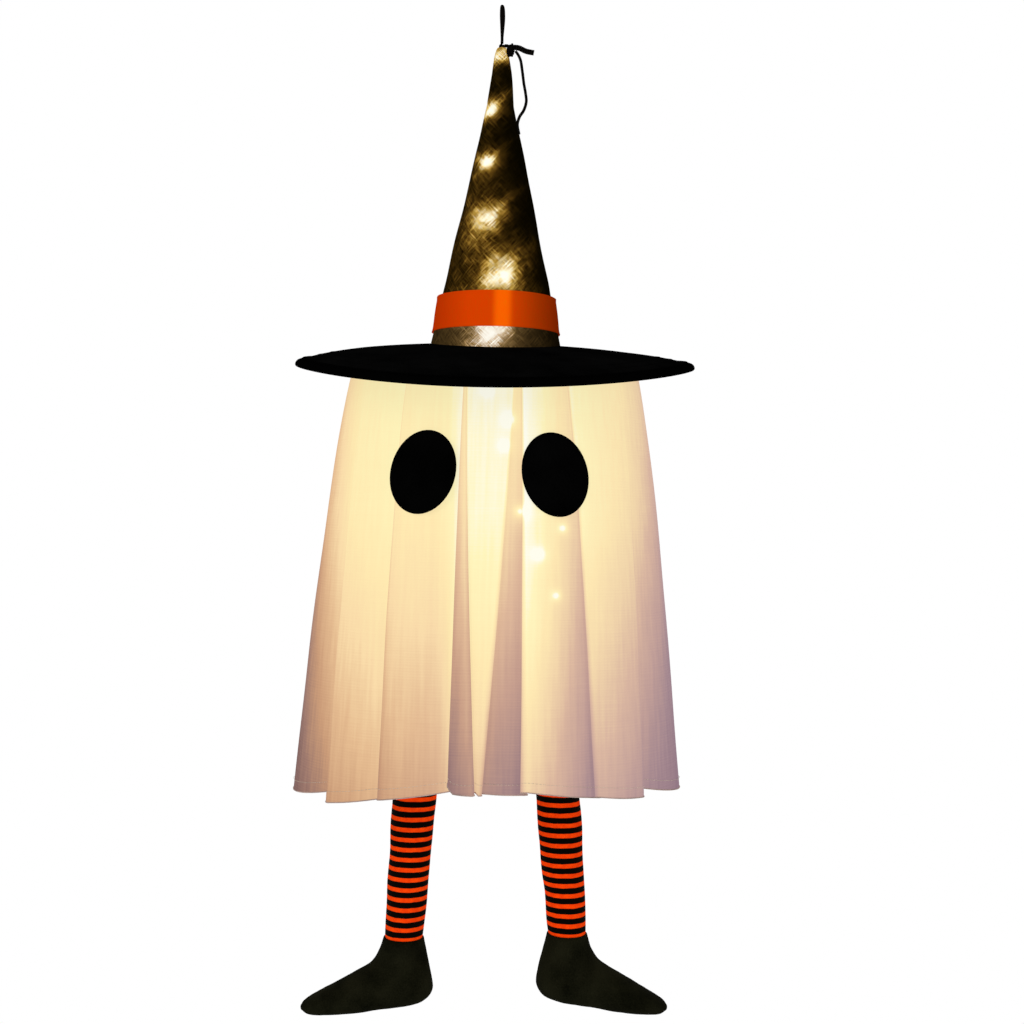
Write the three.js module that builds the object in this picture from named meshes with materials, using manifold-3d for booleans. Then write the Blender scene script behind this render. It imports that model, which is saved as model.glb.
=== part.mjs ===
// Hanging ghost string lights: a cloth ghost under a pointed hat with a wide brim, lit from inside by a
// string of small lights, with two stuffed striped legs that hang out of its hem.
//
// Millimetres, +Z up. The origin is the crest of the hanging loop, where a hook carries the whole ghost.
// The ghost looks towards -Y, and +X is on the right of someone who looks at its face.
// The hat hangs by its tip from a knot, the wire hoop of the body is sewn under the brim, the cloth hangs
// from the hoop, and a bar across the hoop carries the two legs on tapes.

import * as THREE from 'three';
import { mergeVertices } from 'three/addons/utils/BufferGeometryUtils.js';
import Module from 'manifold-3d';

const wasm = await Module();
wasm.setup();

// Driving dimensions

const gap = 0.3; // between pieces that touch

const loopCord = 2.4; // diameter of the hanging cord
const loopDrop = 41; // crest of the loop to the middle of the tip knot
const loopSpread = 7.6; // half width of the eye
const knotRadius = 3.2;
const sideKnotLength = 14;
const sideKnotWidth = 8.4;
const tailLength = 22;
const tailWidth = 5.4;
const tailThickness = 1.5;
const strandStart = 7.5; // middle of the tip knot down to the top of the loose strand

const tipDrop = 1.5; // middle of the tip knot to the rim of the crown's tip
const crownHeight = 296; // tip rim to foot, at the sides
const crownWall = 1.2;
const crownNeckDrop = 58; // where the slim tip turns into the plain cone
const crownNeckRadius = 13.5;
const crownFootRadius = 64.5;

const bandWidth = 35;
const bandLift = 10; // lower edge of the band above the crown's foot
const bandThickness = 1;
const bandProud = 2.4; // how far the band's upper edge stands off the crown

const brimRadius = 198;
const brimDome = 23; // height of the shallow dome that the brim makes
const brimTip = 26; // how far the front rim lies below the side rims by the brim's tilt
const brimDroop = 12; // how far the front and back rims sag besides
const brimWarp = 1.8; // how far the rim is up on the right and down on the left
const brimCloth = 1.4; // thickness of each of the two layers
const brimSeam = 5; // how far the layers reach inside the crown's foot
const rimWire = 2.4;
const bindingWall = 1;
const bindingDepth = 9;

const hoopInset = 68; // rim of the brim to the hoop
const hoopRadius = brimRadius - hoopInset;
const hoopWire = 3;
const tabCount = 6;
const tabThickness = 1;
const tabWidth = 12;

const clothWall = 1.2;
const foldTop = 1.2; // depth of the folds at the hoop
const foldHem = 8; // depth of the folds at the hem
const hemInset = 12.8; // how much narrower than the brim the hem is on each side
const hemHalfWidth = brimRadius - hemInset;
const hemHalfDepth = 150;
const hemDrop = 783; // crest of the loop to the hem, at the sides
const hemLift = 23; // how much higher the hem lies in front and behind
const hemSlant = 4; // how much higher it lies on the right, and lower on the left
const flareCurve = 0.68; // below 1 the cloth flares out sooner

const eyeWidth = 60;
const eyeHeight = 76;
const eyeSpacing = 120;
const eyeShift = -4.5; // the pair sits a little to the left of the middle
const eyeDrop = 471; // crest of the loop to the middle of the eyes
const eyeThickness = 1;
const eyeLean = 6.5; // degrees, tops towards each other

const cellDiameter = 14.2;
const cellLength = 49.2;
const cellNub = 1;
const cellNubRadius = 2.7;
const cellPitch = 14.8;
const contactThickness = 0.6;
const caseWall = 1.6;
const caseDrop = 337; // crest of the loop to the underside of the battery case
const caseHead = 12; // solid head above the cells that holds the switch
const coverThickness = 1.6;
const coverRail = 1.1; // how far the cover reaches into the groove on each side
const gripCount = 4; // ribs for the thumb on the cover
const gripLift = 8;
const gripPitch = 3;
const gripWidth = 18;
const gripBar = 1.2;
const gripProud = 0.8;
const switchTravel = 3.4;
const switchWidth = 6;
const switchHeight = 3.6;
const switchDepth = 1.8;
const lugBar = 2.2;
const lugOpening = 9.4;
const lugHeight = 3.4;
const lugPost = 1.8;
const lugSunk = 1; // how deep the posts of the lug reach into the head
const caseTapeThickness = 1;
const grommetRadius = 3.6;
const grommetHeight = 2.2;

const leadDiameter = 1.4;
const lightRadius = 1.5;
const lightLength = 5.4;
const lightSlack = 1.2; // room between a light in the crown and the crown's slanting wall
const clothLightInset = 12; // middle of the cloth to the lead

const legSpacing = 137; // between the two tapes
const legMiddle = -1; // the pair hangs a little to the left of the middle
const tapeLength = 386; // bar across the hoop to the top of the leg's ring
const legUneven = 3.6; // how much shorter the right tape is, and longer the left one
const tapeWidth = 10;
const tapeThickness = 1.2;
const ringWidth = 18;
const ringBar = 2.4;
const ringDepth = 2;
const ringWindow = 7;
const legLength = 185;
const legTopRadius = 23.4;
const ankleRadius = 19.8;
const legSplay = 13; // how far the ankle lies outside the top of the leg
const legTurn = 3; // more on the right and less on the left
const footLength = 130; // heel to toe
const footHeight = 70;
const footWidth = 52;

// Heights that follow from them

const knotZ = -loopDrop;
const tipZ = knotZ - tipDrop;
const footZ = tipZ - crownHeight;
const tipInner = Math.sqrt((knotRadius + gap) ** 2 - tipDrop ** 2) + 0.1;
const brimStack = 2 * brimCloth + gap;

const degrees = Math.PI / 180;
const mix = THREE.MathUtils.lerp;
const clamp = THREE.MathUtils.clamp;

// Shared helpers

// One closed skin: shared corners merged, empty triangles dropped, faces turned outwards
function skin(geometry) {
  const bare = geometry.clone();
  bare.deleteAttribute('normal');
  bare.deleteAttribute('uv');
  const merged = mergeVertices(bare, 1e-4);
  const position = merged.attributes.position;
  const index = merged.index.array;
  const kept = [];
  for (let i = 0; i < index.length; i += 3) {
    const [a, b, c] = [index[i], index[i + 1], index[i + 2]];
    if (a !== b && b !== c && c !== a) kept.push(a, b, c);
  }
  const [p, q, r] = [new THREE.Vector3(), new THREE.Vector3(), new THREE.Vector3()];
  let volume = 0;
  for (let i = 0; i < kept.length; i += 3) {
    p.fromBufferAttribute(position, kept[i]);
    q.fromBufferAttribute(position, kept[i + 1]);
    r.fromBufferAttribute(position, kept[i + 2]);
    volume += p.dot(q.cross(r));
  }
  if (volume < 0) kept.reverse();
  const result = new THREE.BufferGeometry();
  result.setAttribute('position', position);
  result.setIndex(kept);
  result.computeVertexNormals();
  return result;
}

function toManifold(geometry) {
  const closed = skin(geometry);
  const mesh = new wasm.Mesh({
    numProp: 3,
    vertProperties: new Float32Array(closed.attributes.position.array),
    triVerts: new Uint32Array(closed.index.array),
  });
  return new wasm.Manifold(mesh);
}

function fromManifold(manifold) {
  const mesh = manifold.getMesh();
  const geometry = new THREE.BufferGeometry();
  geometry.setAttribute('position', new THREE.BufferAttribute(mesh.vertProperties, 3));
  geometry.setIndex(new THREE.BufferAttribute(mesh.triVerts, 1));
  return geometry;
}

function cut(base, tools, added = []) {
  let result = toManifold(base);
  for (const piece of added) result = result.add(toManifold(piece));
  for (const tool of tools) result = result.subtract(toManifold(tool));
  return fromManifold(result);
}

function box(x0, x1, y0, y1, z0, z1) {
  const geometry = new THREE.BoxGeometry(x1 - x0, y1 - y0, z1 - z0);
  return geometry.translate((x0 + x1) / 2, (y0 + y1) / 2, (z0 + z1) / 2);
}

// A revolve about Z of [radius, height] pairs; one that leaves the axis closes on itself
function revolve(profile, segments) {
  const points = profile.map(([r, z]) => new THREE.Vector2(r, z));
  if (profile[0][0] > 0) points.push(points[0].clone());
  return new THREE.LatheGeometry(points, segments).rotateX(Math.PI / 2);
}

// Moves every corner of a geometry by a rule
function reshape(geometry, rule) {
  const position = geometry.attributes.position;
  const point = new THREE.Vector3();
  for (let i = 0; i < position.count; i++) {
    point.fromBufferAttribute(position, i);
    rule(point);
    position.setXYZ(i, point.x, point.y, point.z);
  }
  return geometry;
}

function roundSection(width, thickness, sides) {
  const shape = new THREE.Shape();
  for (let i = 0; i < sides; i++) {
    const angle = (i / sides) * 2 * Math.PI;
    const x = (Math.cos(angle) * width) / 2;
    const y = (Math.sin(angle) * thickness) / 2;
    if (i === 0) shape.moveTo(x, y);
    else shape.lineTo(x, y);
  }
  return shape;
}

function cord(points, width, thickness, steps) {
  const path = new THREE.CatmullRomCurve3(points.map((p) => new THREE.Vector3(...p)), false, 'centripetal');
  return new THREE.ExtrudeGeometry(roundSection(width, thickness, 8), {
    steps,
    extrudePath: path,
    curveSegments: 1,
  });
}

// A closed skin over rings of equal count, with a fan over each end
function loft(rings) {
  const positions = [];
  const index = [];
  const count = rings[0].length;
  for (const ring of rings) for (const p of ring) positions.push(p.x, p.y, p.z);
  for (let i = 0; i < rings.length - 1; i++) {
    for (let j = 0; j < count; j++) {
      const a = i * count + j;
      const b = i * count + ((j + 1) % count);
      index.push(a, b, a + count, b, b + count, a + count);
    }
  }
  for (const [row, flip] of [[0, true], [rings.length - 1, false]]) {
    const middle = new THREE.Vector3();
    for (const p of rings[row]) middle.addScaledVector(p, 1 / count);
    const hub = positions.length / 3;
    positions.push(middle.x, middle.y, middle.z);
    for (let j = 0; j < count; j++) {
      const a = row * count + j;
      const b = row * count + ((j + 1) % count);
      if (flip) index.push(b, a, hub);
      else index.push(a, b, hub);
    }
  }
  return indexed(positions, index);
}

// A closed skin over two grids of points that lie a wall apart
function shell(outer, inner) {
  const rows = outer.length;
  const columns = outer[0].length;
  const positions = [];
  const index = [];
  for (const grid of [outer, inner]) for (const row of grid) for (const p of row) positions.push(p.x, p.y, p.z);
  const at = (side, i, j) => (side * rows + i) * columns + j;
  const quad = (a, b, c, d) => index.push(a, b, c, a, c, d);
  for (let i = 0; i < rows - 1; i++) {
    for (let j = 0; j < columns - 1; j++) {
      quad(at(0, i, j), at(0, i + 1, j), at(0, i + 1, j + 1), at(0, i, j + 1));
      quad(at(1, i, j), at(1, i, j + 1), at(1, i + 1, j + 1), at(1, i + 1, j));
    }
    quad(at(0, i, 0), at(1, i, 0), at(1, i + 1, 0), at(0, i + 1, 0));
    quad(at(0, i, columns - 1), at(0, i + 1, columns - 1), at(1, i + 1, columns - 1), at(1, i, columns - 1));
  }
  for (let j = 0; j < columns - 1; j++) {
    quad(at(0, 0, j), at(0, 0, j + 1), at(1, 0, j + 1), at(1, 0, j));
    quad(at(0, rows - 1, j), at(1, rows - 1, j), at(1, rows - 1, j + 1), at(0, rows - 1, j + 1));
  }
  return indexed(positions, index);
}

function indexed(positions, index) {
  const geometry = new THREE.BufferGeometry();
  geometry.setAttribute('position', new THREE.Float32BufferAttribute(positions, 3));
  geometry.setIndex(index);
  return geometry;
}

// Materials

const looks = {
  blackCord: { color: 0x15130f, roughness: 0.85 },
  crownCloth: { color: 0x3a2c12, roughness: 0.45, metalness: 0.5 },
  bandSatin: { color: 0xd95a0a, roughness: 0.5 },
  blackFelt: { color: 0x0b0a09, roughness: 0.95 },
  wire: { color: 0x8d8f92, roughness: 0.35, metalness: 1 },
  voile: { color: 0xf3e6d2, roughness: 0.9 },
  casePlastic: { color: 0x1c1c1e, roughness: 0.5 },
  switchPlastic: { color: 0xd8d8d4, roughness: 0.45 },
  cellJacket: { color: 0x4d5a60, roughness: 0.35, metalness: 0.4 },
  contact: { color: 0xc9c4b6, roughness: 0.3, metalness: 1 },
  tape: { color: 0xe9e2d4, roughness: 0.9 },
  leadWire: { color: 0xb99b6a, roughness: 0.5 },
  lens: { color: 0xffe2a0, roughness: 0.15, emissive: 0xffc860, emissiveIntensity: 1 },
  stocking: { color: 0xe8500c, roughness: 0.85 },
  footCloth: { color: 0x14150e, roughness: 0.9 },
};
const materials = {};
for (const [name, look] of Object.entries(looks)) materials[name] = new THREE.MeshStandardMaterial(look);

function piece(name, geometry, look) {
  const mesh = new THREE.Mesh(skin(geometry), materials[look]);
  mesh.name = name;
  return mesh;
}

// Shape of the crown

function crownOuter(z) {
  const drop = clamp(tipZ - z, 0, 10 * crownHeight);
  const tipOuter = tipInner + crownWall;
  if (drop < crownNeckDrop) {
    return tipOuter + (crownNeckRadius - tipOuter) * (drop / crownNeckDrop) ** 0.6;
  }
  const slope = (crownFootRadius - crownNeckRadius) / (crownHeight - crownNeckDrop);
  return crownNeckRadius + slope * (drop - crownNeckDrop);
}

function crownInner(z) {
  return crownOuter(z) - crownWall;
}

// Shape of the brim: a shallow dome whose front rim hangs lower than its back rim

function dome(r) {
  const lip = brimRadius + 3;
  return brimDome * (1 - (r / lip) ** 2) ** 0.6;
}

function tilt(y) {
  const s = y / brimRadius;
  return brimTip * s - brimDroop * s * s;
}

function brimTop(r, y) {
  return footZ - gap + dome(r) - dome(crownFootRadius) + tilt(y);
}

function onBrim(geometry) {
  return reshape(geometry, (p) => {
    const r = Math.hypot(p.x, p.y);
    const warp = (brimWarp * p.x * clamp((r - hoopRadius) / hoopInset, 0, 1)) / brimRadius;
    p.z += brimTop(r, p.y) + warp;
  });
}

const hoopBelowBrim = brimStack + gap + tabThickness + gap + hoopWire / 2;

function hoopZ(y) {
  return brimTop(hoopRadius, y) - hoopBelowBrim;
}

const barZ = hoopZ(0);

// Shape of the cloth

// Folds of one half, left to right: angle from its middle at the top and at the hem in degrees, and how far
// the cloth stands out just left and just right of the fold, as a share of the fold's depth
const folds = [
  { top: -90, hem: -90, left: 0.9, right: 0.9 },
  { top: -55, hem: -54, left: -0.8, right: 0.8 },
  { top: -34.5, hem: -35, left: -0.2, right: 0.8 },
  { top: -11.4, hem: -10.4, left: -1, right: 0.6 },
  { top: -9.6, hem: -2.4, left: 0.3, right: -0.5 },
  { top: 5.4, hem: -0.4, left: 0.3, right: -0.7 },
  { top: 10.4, hem: 9.6, left: -0.5, right: 0.9 },
  { top: 26.5, hem: 30.5, left: -0.1, right: 0.6 },
  { top: 54, hem: 50, left: 0.8, right: -0.8 },
  { top: 90, hem: 90, left: 0.9, right: 0.9 },
];
const foldEdge = 0.5; // degrees from the middle of a fold to its two lines
const pleatCrown = 0.3; // how far the cloth bulges between two folds
const clothTop = hoopRadius + hoopWire / 2 + gap + tabThickness + gap + clothWall / 2 + foldTop;

function flare(v) {
  return clamp(v, 0, 1) ** flareCurve;
}

function foldDepth(v) {
  return mix(foldTop, foldHem, clamp(v, 0, 1) ** 0.8);
}

// How far the cloth stands out at an angle of one half, and at a share v of its height
function foldShare(angle, v) {
  const lines = folds.map((fold) => mix(fold.top, fold.hem, v));
  for (let i = 0; i < folds.length - 1; i++) {
    const from = lines[i] + foldEdge;
    const to = lines[i + 1] - foldEdge;
    if (angle < from) {
      return mix(folds[i].left, folds[i].right, clamp((angle - from) / (2 * foldEdge) + 1, 0, 1));
    }
    if (angle <= to) {
      const u = (angle - from) / (to - from);
      const bulge = pleatCrown * Math.sin(Math.PI * u) * clamp((to - from) / 20, 0, 1);
      return mix(folds[i].right, folds[i + 1].left, u) + bulge;
    }
  }
  const last = folds.length - 1;
  return mix(folds[last].left, folds[last].right, clamp((angle - lines[last]) / (2 * foldEdge) + 0.5, 0, 1));
}

function clothHeight(angle, v, depth) {
  const top = hoopZ(-depth * Math.cos(angle)) + hoopWire / 2;
  const hem = -hemDrop + hemLift * Math.cos(angle) ** 2 + hemSlant * Math.sin(angle);
  return mix(top, hem, v);
}

// A point at an angle in radians from the front, a share v of the height and an offset from the base form
function clothPoint(angle, v, offset) {
  const wide = mix(clothTop, hemHalfWidth, flare(v)) + offset;
  const deep = mix(clothTop, hemHalfDepth, flare(v)) + offset;
  return new THREE.Vector3(wide * Math.sin(angle), -deep * Math.cos(angle), clothHeight(angle, v, clothTop));
}

// The share of the cloth's height at a level near an angle
function clothShare(angle, z) {
  const top = clothHeight(angle, 0, clothTop);
  const hem = clothHeight(angle, 1, clothTop);
  return clamp((top - z) / (top - hem), 0, 1);
}

// How far forward the base form lies at x and z, moved out by an offset
function clothFront(x, z, offset) {
  let angle = 0;
  let deep = clothTop;
  for (let pass = 0; pass < 4; pass++) {
    const v = clothShare(angle, z);
    const wide = mix(clothTop, hemHalfWidth, flare(v)) + offset;
    deep = mix(clothTop, hemHalfDepth, flare(v)) + offset;
    angle = Math.asin(clamp(x / wide, -1, 1));
  }
  return -deep * Math.cos(angle);
}

const clothRows = [0, 0.1, 0.22, 0.36, 0.5, 0.64, 0.76, 0.88, 1];

function clothPanel(middle) {
  const seam = 0.06; // degrees that each side seam stands open
  const grids = [1, -1].map((side) => clothRows.map((v) => {
    const lines = folds.map((fold) => mix(fold.top, fold.hem, v));
    const angles = [-90 + seam];
    for (let i = 0; i < lines.length - 1; i++) {
      const from = i === 0 ? -90 + seam : lines[i] + foldEdge;
      const to = i === lines.length - 2 ? 90 - seam : lines[i + 1] - foldEdge;
      if (i > 0) angles.push(from);
      const steps = Math.max(1, Math.round((folds[i + 1].top - folds[i].top) / 9));
      for (let k = 1; k < steps; k++) angles.push(mix(from, to, k / steps));
      angles.push(to);
    }
    return angles.map((angle) => {
      const offset = foldDepth(v) * foldShare(angle, v) + (side * clothWall) / 2;
      return clothPoint(angle * degrees + middle, v, offset);
    });
  }));
  return shell(grids[0], grids[1]);
}

// Hanging cord

const loopEnd = knotZ + Math.sqrt((knotRadius + gap) ** 2 - (gap / 2) ** 2);

function hangingLoop() {
  const foot = loopCord / 2 + gap / 2;
  const side = [
    [0, foot, loopEnd],
    [0, foot * 1.1, knotZ * 0.8],
    [0.6, loopSpread * 0.6, knotZ * 0.54],
    [1.3, loopSpread, knotZ * 0.27],
    [0.8, loopSpread * 0.68, knotZ * 0.065],
  ];
  const other = side.map(([x, y, z]) => [-x, -y, z]);
  return cord([...other, [0, 0, 0], ...side.reverse()], loopCord, loopCord, 36);
}

function tipKnot() {
  const turns = 10;
  const profile = [[0, -knotRadius]];
  for (let i = 1; i < turns; i++) {
    const angle = (i / turns) * Math.PI - Math.PI / 2;
    profile.push([knotRadius * Math.cos(angle), knotRadius * Math.sin(angle)]);
  }
  profile.push([0, knotRadius]);
  return revolve(profile, 14);
}

// The second knot sits on the crown's tip beside the first one, in front and to the right
const sideKnotTurn = 38 * degrees;
const sideKnotZ = knotZ + 1.5 - sideKnotLength / 2;

function sideKnotPlace() {
  let reach = 0;
  for (let share = -1; share <= 1; share += 0.1) {
    const half = (sideKnotWidth / 2) * Math.sqrt(1 - Math.min(share * share, 1));
    reach = Math.max(reach, crownOuter(sideKnotZ + (share * sideKnotLength) / 2) + gap + half);
  }
  return new THREE.Vector3(reach * Math.cos(sideKnotTurn), -reach * Math.sin(sideKnotTurn), sideKnotZ);
}

function sideKnot() {
  const place = sideKnotPlace();
  const half = sideKnotWidth / 2;
  const lump = new THREE.SphereGeometry(1, 14, 9).scale(half, half, sideKnotLength / 2);
  lump.translate(place.x, place.y, place.z);
  const from = place.z + sideKnotLength * 0.22;
  const tail = cord([
    [place.x, place.y, from],
    [place.x + tailLength * 0.35, place.y, from + 0.9],
    [place.x + tailLength * 0.7, place.y + 0.3, from - 0.6],
    [place.x + tailLength, place.y + 0.6, from - 3.2],
  ], tailThickness, tailWidth, 6);
  return fromManifold(toManifold(lump).add(toManifold(tail)));
}

// The bow of the loose strand, counted from its start on the knot: to the right, backwards and down
const strandBow = [
  [0, 0, 0], [2.2, 0.4, 2.5], [4.4, 1.2, 7], [6.4, 2.4, 17.5], [8.2, 3.4, 29.5],
  [10.2, 4.2, 39.5], [11, 4.8, 47.5], [9.6, 5.3, 56.5], [7, 5.6, 63.5],
];
const strandRests = [72.5, 82]; // how far down it lies on the side of the crown
const strandBack = -1.2; // how far back it lies there

function looseStrand() {
  const place = sideKnotPlace();
  const top = knotZ - strandStart;
  const startX = place.x + (sideKnotWidth + loopCord) / 2 + gap;
  const rest = (z) => crownOuter(z) + gap + loopCord / 2 + 0.1;
  const points = strandBow.map(([right, back, down]) => [startX + right, place.y + back, top - down]);
  const last = points[points.length - 1];
  last[0] = Math.max(last[0], rest(last[2]));
  for (const down of strandRests) points.push([rest(top - down), strandBack, top - down]);
  return cord(points, loopCord, loopCord, 28);
}

// Hat

function crown() {
  const bandFoot = footZ + bandLift;
  const levels = [tipZ, tipZ - 4, tipZ - 14, tipZ - crownNeckDrop * 0.6, tipZ - crownNeckDrop];
  for (const share of [0.3, 0.65]) levels.push(mix(tipZ - crownNeckDrop, bandFoot, share));
  levels.push(bandFoot, footZ);
  const outer = levels.map((z) => [crownOuter(z), z]);
  const inner = levels.map((z) => [crownInner(z), z]).reverse();
  return reshape(revolve([...outer, ...inner], 36), (p) => {
    const share = clamp((bandFoot - p.z) / bandLift, 0, 1);
    if (share === 0) return;
    const shift = tilt(p.y) * share;
    const grow = crownOuter(p.z + shift) / crownOuter(p.z);
    p.x *= grow;
    p.y *= grow;
    p.z += shift;
  });
}

function hatBand() {
  const low = footZ + bandLift + 0.6;
  const high = low + bandWidth;
  const wall = (z, proud) => crownOuter(z) + gap + proud + 0.05;
  return revolve([
    [wall(low, 0), low],
    [wall(low, 0) + bandThickness, low],
    [wall((low + high) / 2, bandProud * 0.6) + bandThickness, (low + high) / 2],
    [wall(high, bandProud) + bandThickness, high],
    [wall(high, bandProud), high],
    [wall((low + high) / 2, bandProud * 0.6), (low + high) / 2],
  ], 36);
}

const rimWireRadius = brimRadius - bindingWall - gap - rimWire / 2;
const layerEdge = rimWireRadius - rimWire / 2 - gap;
const layerHole = crownFootRadius - crownWall - brimSeam;

function brimLayer(top) {
  const radii = [layerHole, crownFootRadius, mix(crownFootRadius, hoopRadius, 0.5), hoopRadius];
  for (const share of [0.4, 0.7, 0.88, 1]) radii.push(mix(hoopRadius, layerEdge, share));
  const upper = radii.map((r) => [r, -top]);
  const lower = radii.map((r) => [r, -top - brimCloth]).reverse();
  return onBrim(revolve([...upper, ...lower], 48));
}

function brimWire() {
  const profile = [];
  for (let i = 0; i < 6; i++) {
    const angle = (i / 6) * 2 * Math.PI;
    const r = rimWireRadius + (Math.cos(angle) * rimWire) / 2;
    profile.push([r, (Math.sin(angle) * rimWire) / 2 - brimStack / 2]);
  }
  return onBrim(revolve(profile, 48));
}

function brimBinding() {
  const inside = Math.max(brimStack, rimWire) / 2 + gap;
  const outside = inside + bindingWall;
  const middle = -brimStack / 2;
  const from = brimRadius - bindingDepth;
  const bend = brimRadius - bindingWall;
  const profile = [
    [from, middle + outside],
    [layerEdge, middle + outside],
    [bend, middle + outside * 0.85],
    [brimRadius, middle],
    [bend, middle - outside * 0.85],
    [layerEdge, middle - outside],
    [from, middle - outside],
    [from, middle - inside],
    [layerEdge, middle - inside],
    [bend, middle - inside * 0.8],
    [bend, middle + inside * 0.8],
    [layerEdge, middle + inside],
    [from, middle + inside],
  ];
  return onBrim(revolve(profile, 48));
}

// Hoop under the brim

// Each tab sits in the middle of one straight facet of the hoop
const hoopFacets = 8 * tabCount;
const tabRadius = hoopRadius * Math.cos(Math.PI / hoopFacets);

function bodyHoop() {
  const profile = [];
  for (let i = 0; i < 8; i++) {
    const angle = (i / 8) * 2 * Math.PI;
    profile.push([hoopRadius + (Math.cos(angle) * hoopWire) / 2, (Math.sin(angle) * hoopWire) / 2]);
  }
  return reshape(revolve(profile, hoopFacets).rotateZ(Math.PI / hoopFacets), (p) => {
    p.z += hoopZ((p.y / Math.hypot(p.x, p.y)) * hoopRadius);
  });
}

// A tab is a small sleeve round the hoop, flat on top where it is sewn to the brim
function hoopTab(angle) {
  const inner = hoopWire / 2 + gap;
  const outer = inner + tabThickness;
  const shape = new THREE.Shape();
  shape.moveTo(-outer, inner + tabThickness * 0.8);
  shape.lineTo(-outer, 0);
  shape.absarc(0, 0, outer, Math.PI, 2 * Math.PI, false);
  shape.lineTo(outer, inner + tabThickness * 0.8);
  shape.closePath();
  const hole = new THREE.Path();
  hole.absarc(0, 0, inner, 0, 2 * Math.PI, true);
  shape.holes.push(hole);
  const sleeve = new THREE.ExtrudeGeometry(shape, { depth: tabWidth, bevelEnabled: false, curveSegments: 6 });
  sleeve.translate(0, 0, -tabWidth / 2);
  const at = (turn) => {
    const y = tabRadius * Math.sin(turn);
    return new THREE.Vector3(tabRadius * Math.cos(turn), y, hoopZ(y));
  };
  const along = at(angle + 0.02).sub(at(angle - 0.02)).normalize();
  const under = (r) => brimTop(r, r * Math.sin(angle));
  const slope = (under(hoopRadius + 1) - under(hoopRadius - 1)) / 2;
  const out = new THREE.Vector3(Math.cos(angle), Math.sin(angle), slope).normalize();
  const up = new THREE.Vector3().crossVectors(out, along).normalize();
  const across = new THREE.Vector3().crossVectors(along, up).normalize();
  const place = new THREE.Matrix4().makeBasis(across.negate(), up, along.negate()).setPosition(at(angle));
  return sleeve.applyMatrix4(place);
}

function hoopCrossbar() {
  const reach = hoopRadius - hoopWire / 2 - gap;
  const bar = new THREE.CylinderGeometry(hoopWire / 2, hoopWire / 2, 2 * reach, 10);
  return bar.rotateZ(Math.PI / 2).translate(0, 0, barZ);
}

// Eyes

const eyeRings = [1, 0.8, 0.55, 0.28]; // shares of the eye's size
const eyeSides = 28;
const eyeReach = 3; // degrees beside a point in which a fold still lifts the eye
const eyeSeat = 0.25; // room over the bulge of the cloth between two of its corners

function eye(side) {
  const middleX = (side * eyeSpacing) / 2 + eyeShift;
  const lean = side * eyeLean * degrees;
  const place = (ring, i) => {
    const turn = (i / eyeSides) * 2 * Math.PI;
    const u = (Math.cos(turn) * eyeWidth * ring) / 2;
    const w = (Math.sin(turn) * eyeHeight * ring) / 2;
    const x = middleX + u * Math.cos(lean) - w * Math.sin(lean);
    return [x, -eyeDrop + u * Math.sin(lean) + w * Math.cos(lean)];
  };
  let crest = -1;
  for (const ring of eyeRings) {
    for (let i = 0; i < eyeSides; i++) {
      const [x, z] = place(ring, i);
      const v = clothShare(0, z);
      const wide = mix(clothTop, hemHalfWidth, flare(v));
      const angle = Math.asin(x / wide) / degrees;
      for (const near of [-eyeReach, 0, eyeReach]) crest = Math.max(crest, foldShare(angle + near, v));
    }
  }
  const skinAt = (ring, i, lift) => {
    const [x, z] = place(ring, i);
    const v = clothShare(Math.asin(clamp(x / hemHalfWidth, -1, 1)), z);
    const offset = crest * foldDepth(v) + clothWall / 2 + gap + eyeSeat + lift;
    return new THREE.Vector3(x, clothFront(x, z, offset), z);
  };
  const layers = [];
  for (const ring of [...eyeRings].reverse()) layers.push([ring, eyeThickness]);
  for (const ring of eyeRings) layers.push([ring, 0]);
  const loops = layers.map(([ring, lift]) => {
    const points = [];
    for (let i = 0; i < eyeSides; i++) points.push(skinAt(ring, i, lift));
    return points;
  });
  return loft(loops);
}

// Battery case inside the crown

const bayWidth = 2 * cellPitch + cellDiameter + 2 * gap;
const bayDepth = cellDiameter + 2 * gap;
const bayHeight = cellLength + cellNub + 2 * (contactThickness + 2 * gap);
const caseWidth = bayWidth + 2 * (caseWall + coverRail);
const caseFront = -(bayDepth / 2 + caseWall);
const caseBack = bayDepth / 2 + coverThickness + 2 * gap;
const caseFoot = -caseDrop;
const bayFoot = caseFoot + caseWall;
const bayTop = bayFoot + bayHeight;
const caseTop = bayTop + caseHead;
const coverFront = bayDepth / 2 + gap / 2;
const coverTop = bayTop - gap;
const switchZ = bayTop + caseHead / 2;
const lugZ = caseTop + lugHeight;

function batteryCase() {
  const body = box(-caseWidth / 2, caseWidth / 2, caseFront, caseBack, caseFoot, caseTop);
  const past = 2; // how far a cut runs past a face
  const bay = box(-bayWidth / 2, bayWidth / 2, -bayDepth / 2, caseBack + past, bayFoot, bayTop);
  const railed = bayWidth / 2 + coverRail + gap;
  const groove = box(-railed, railed, coverFront - gap, caseBack + past, caseFoot - past, bayTop);
  const slotHalf = (switchWidth + switchTravel) / 2 + gap;
  const slotRise = switchHeight / 2 + gap;
  const slotDeep = caseFront + switchDepth + gap;
  const slot = box(-slotHalf, slotHalf, caseFront - past, slotDeep, switchZ - slotRise, switchZ + slotRise);
  const half = lugBar / 2;
  const lugInside = lugOpening / 2;
  const lugOutside = lugInside + lugPost;
  const lug = [
    box(-lugOutside, -lugInside, -half, half, caseTop - lugSunk, lugZ + half),
    box(lugInside, lugOutside, -half, half, caseTop - lugSunk, lugZ + half),
    box(-lugOutside + half, lugOutside - half, -half, half, lugZ - half, lugZ + half),
  ];
  return cut(body, [bay, groove, slot], lug);
}

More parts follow.
